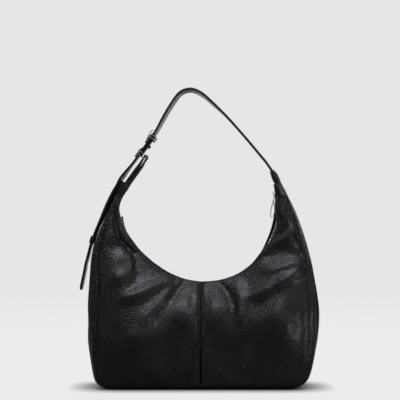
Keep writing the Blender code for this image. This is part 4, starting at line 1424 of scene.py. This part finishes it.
def add_chape():
    """Second layer of leather between ring and buckle."""
    line = [on_run(up, 0, -3.25)[[0, 2]] for up in (11.2, 20, 30, 40, 49.6)]
    layer, rail = flat_strap(line, 2.6, 20.6, 60, edge=1.0)
    add("chape_layer", layer, EDGE_LEATHER, "handle", "strap_chape")
    add_stitches("chape_stitches", strap_stitches(rail, inset=2.4, faces=(-1,)), "handle",
                 "edge_leather")


def add_stud():
    """Turned head on the inner side of the second layer."""
    up, tip_out, count = 30.5, -7.42, 28
    # out, radius
    rings = ((-4.4, 1.5), (-5.0, 1.5), (-5.3, 2.3), (-5.9, 2.75), (-6.6, 2.7), (-7.1, 2.2),
             (-7.35, 1.2))
    points = [on_run(up + along, y, out) for out, radius in rings
              for along, y in circle(radius, count)]
    points.append(on_run(up, 0, tip_out))
    last, tip = (len(rings) - 1) * count, len(points) - 1
    faces = tube_walls(len(rings), count)
    faces += [(last + k, last + (k + 1) % count, tip) for k in range(count)]
    faces.append(tuple(range(count))[::-1])
    add("chape_stud_head", (points, faces), DARK_METAL_AND_SHADE, "handle", "chape_stud", angle=40)


add_rings()
add_buckle_keeper()
add_tongue()
add_chape()
add_stud()


# ------------------------------------------------------------------ stage ----
def paper_material():
    """Evenly pale to the camera but for a painted contact shadow; reflections see ordinary lit
    paper.
    """
    surface = Surface("pale_paper")
    surface.bump(Strength=0.05, Height=surface.noise(scale=30.0, detail=3.0))
    camera_ray = surface.node("LightPath").outputs["Is Camera Ray"]
    # painted contact shadow: the paper's glow darkens where it meets the bag
    open_air = surface.node("AmbientOcclusion", samples=8, Distance=0.045).outputs["AO"]
    shade = surface.calc('MULTIPLY', surface.calc('POWER', open_air, 1.8), 0.79)
    surface.set(Roughness=0.9, Specular_IOR_Level=0.1, Emission_Color=(1, 1, 1, 1),
                Emission_Strength=surface.calc('MULTIPLY', camera_ray, shade),
                Base_Color=surface.mix(Factor=camera_ray, A=(0.22, 0.22, 0.22, 1),
                                       B=(0.05, 0.05, 0.05, 1)))
    return surface.material


def add_floor():
    """Disc of 30 m radius."""
    radius, count = 30, 96
    rim = [(x, y, 0.0) for x, y in circle(radius, count)]
    mesh = bpy.data.meshes.new("pale_floor")
    mesh.from_pydata([(0, 0, 0)] + rim, [],
                     [(0, 1 + i, 1 + (i + 1) % count) for i in range(count)])
    floor = bpy.data.objects.new("pale_floor", mesh)
    SCENE.collection.objects.link(floor)
    mesh.materials.append(paper_material())


def set_world():
    """The camera sees the floor's pale tone; the bag is lit by the lights."""
    world = bpy.data.worlds.new("studio")
    SCENE.world = world
    world.use_nodes = True
    nodes = Nodes(world.node_tree)
    camera_ray = nodes.node("LightPath").outputs["Is Camera Ray"]
    nodes.fill(world.node_tree.nodes["Background"],
               {"Color": (1.0, 1.0, 1.0, 1),
                "Strength": nodes.add_scaled(camera_ray, gain=0.782, onto=0.008)})


# Area lights: name, place, height on the Z axis aimed at, width, height (m), power (W).
LIGHTS = (
    ("key_soft", (0.0, -1.2, 1.6), 0.15, 0.8, 0.5, 12.3),
    ("top_soft", (0.0, -0.2, 1.8), 0.15, 1.2, 0.8, 7),
    ("right_strip", (1.25, -1.35, 0.28), 0.10, 0.2, 0.3, 3.6),
    ("back_soft", (0.0, 1.5, 1.5), 0.12, 1.0, 0.6, 15),
    ("left_soft", (-1.6, 0.75, 1.1), 0.15, 0.5, 0.5, 7),
    ("right_soft", (1.6, 0.75, 1.1), 0.15, 0.5, 0.5, 7),
    ("left_strip", (-1.25, -1.35, 0.6), 0.12, 0.25, 0.7, 1.1),
)
# wide cards that only the metal sees, so that it shines against the black leather
METAL_LIGHTS = (
    ("metal_card_front", (-0.7, -1.9, 0.9), 0.3, 1.6, 1.2, 1.9),
    ("metal_card_back", (0.8, 1.6, 1.2), 0.3, 1.4, 1.2, 3),
    ("metal_card_side", (-1.9, 0.0, 0.9), 0.3, 1.2, 1.2, 1.2),
)
# for the strap and edge leather: a light line along the right, and the pale floor behind
STRAP_LIGHTS = (
    ("strap_card", (1.5, -0.9, 0.75), 0.32, 0.4, 0.6, 5.5),
    ("strap_floor_card", (0.0, 1.15, 0.03), 0.40, 2.2, 1.0, 8),
)


def add_lights(lights, receivers=None):
    for name, place, aim_z, width, height, power in lights:
        lamp = bpy.data.lights.new(name, 'AREA')
        lamp.shape = 'RECTANGLE'
        lamp.size = width
        lamp.size_y = height
        lamp.energy = power
        light = bpy.data.objects.new(name, lamp)
        light.location = place
        light.rotation_mode = 'QUATERNION'
        aim = Vector((0.0, 0.0, aim_z)) - Vector(place)
        light.rotation_quaternion = aim.to_track_quat('-Z', 'Y')
        SCENE.collection.objects.link(light)
        if receivers:
            light.light_linking.receiver_collection = receivers


def pieces_of(name, materials):
    """Collection of the pieces made of these materials."""
    collection = bpy.data.collections.new(name)
    for solid in PIECES:
        if solid.data.materials[0] in materials:
            collection.objects.link(solid)
    return collection


def add_camera():
    lens = bpy.data.cameras.new("main_camera")
    lens.lens = 152.0
    lens.sensor_width = 36.0
    lens.clip_start = 0.05
    lens.clip_end = 50.0
    camera = bpy.data.objects.new("main_camera", lens)
    SCENE.collection.objects.link(camera)
    camera.location = (-0.001, -2.5, 0.276)
    camera.rotation_euler = (math.radians(90), 0, 0)
    SCENE.camera = camera


add_floor()
set_world()
add_lights(LIGHTS)
add_lights(METAL_LIGHTS, pieces_of("metal_pieces", (SILVER, DARK_METAL_AND_SHADE)))
add_lights(STRAP_LIGHTS, pieces_of("strap_pieces", (STRAP_LEATHER, EDGE_LEATHER)))
add_camera()
SCENE.view_settings.view_transform = 'Standard'
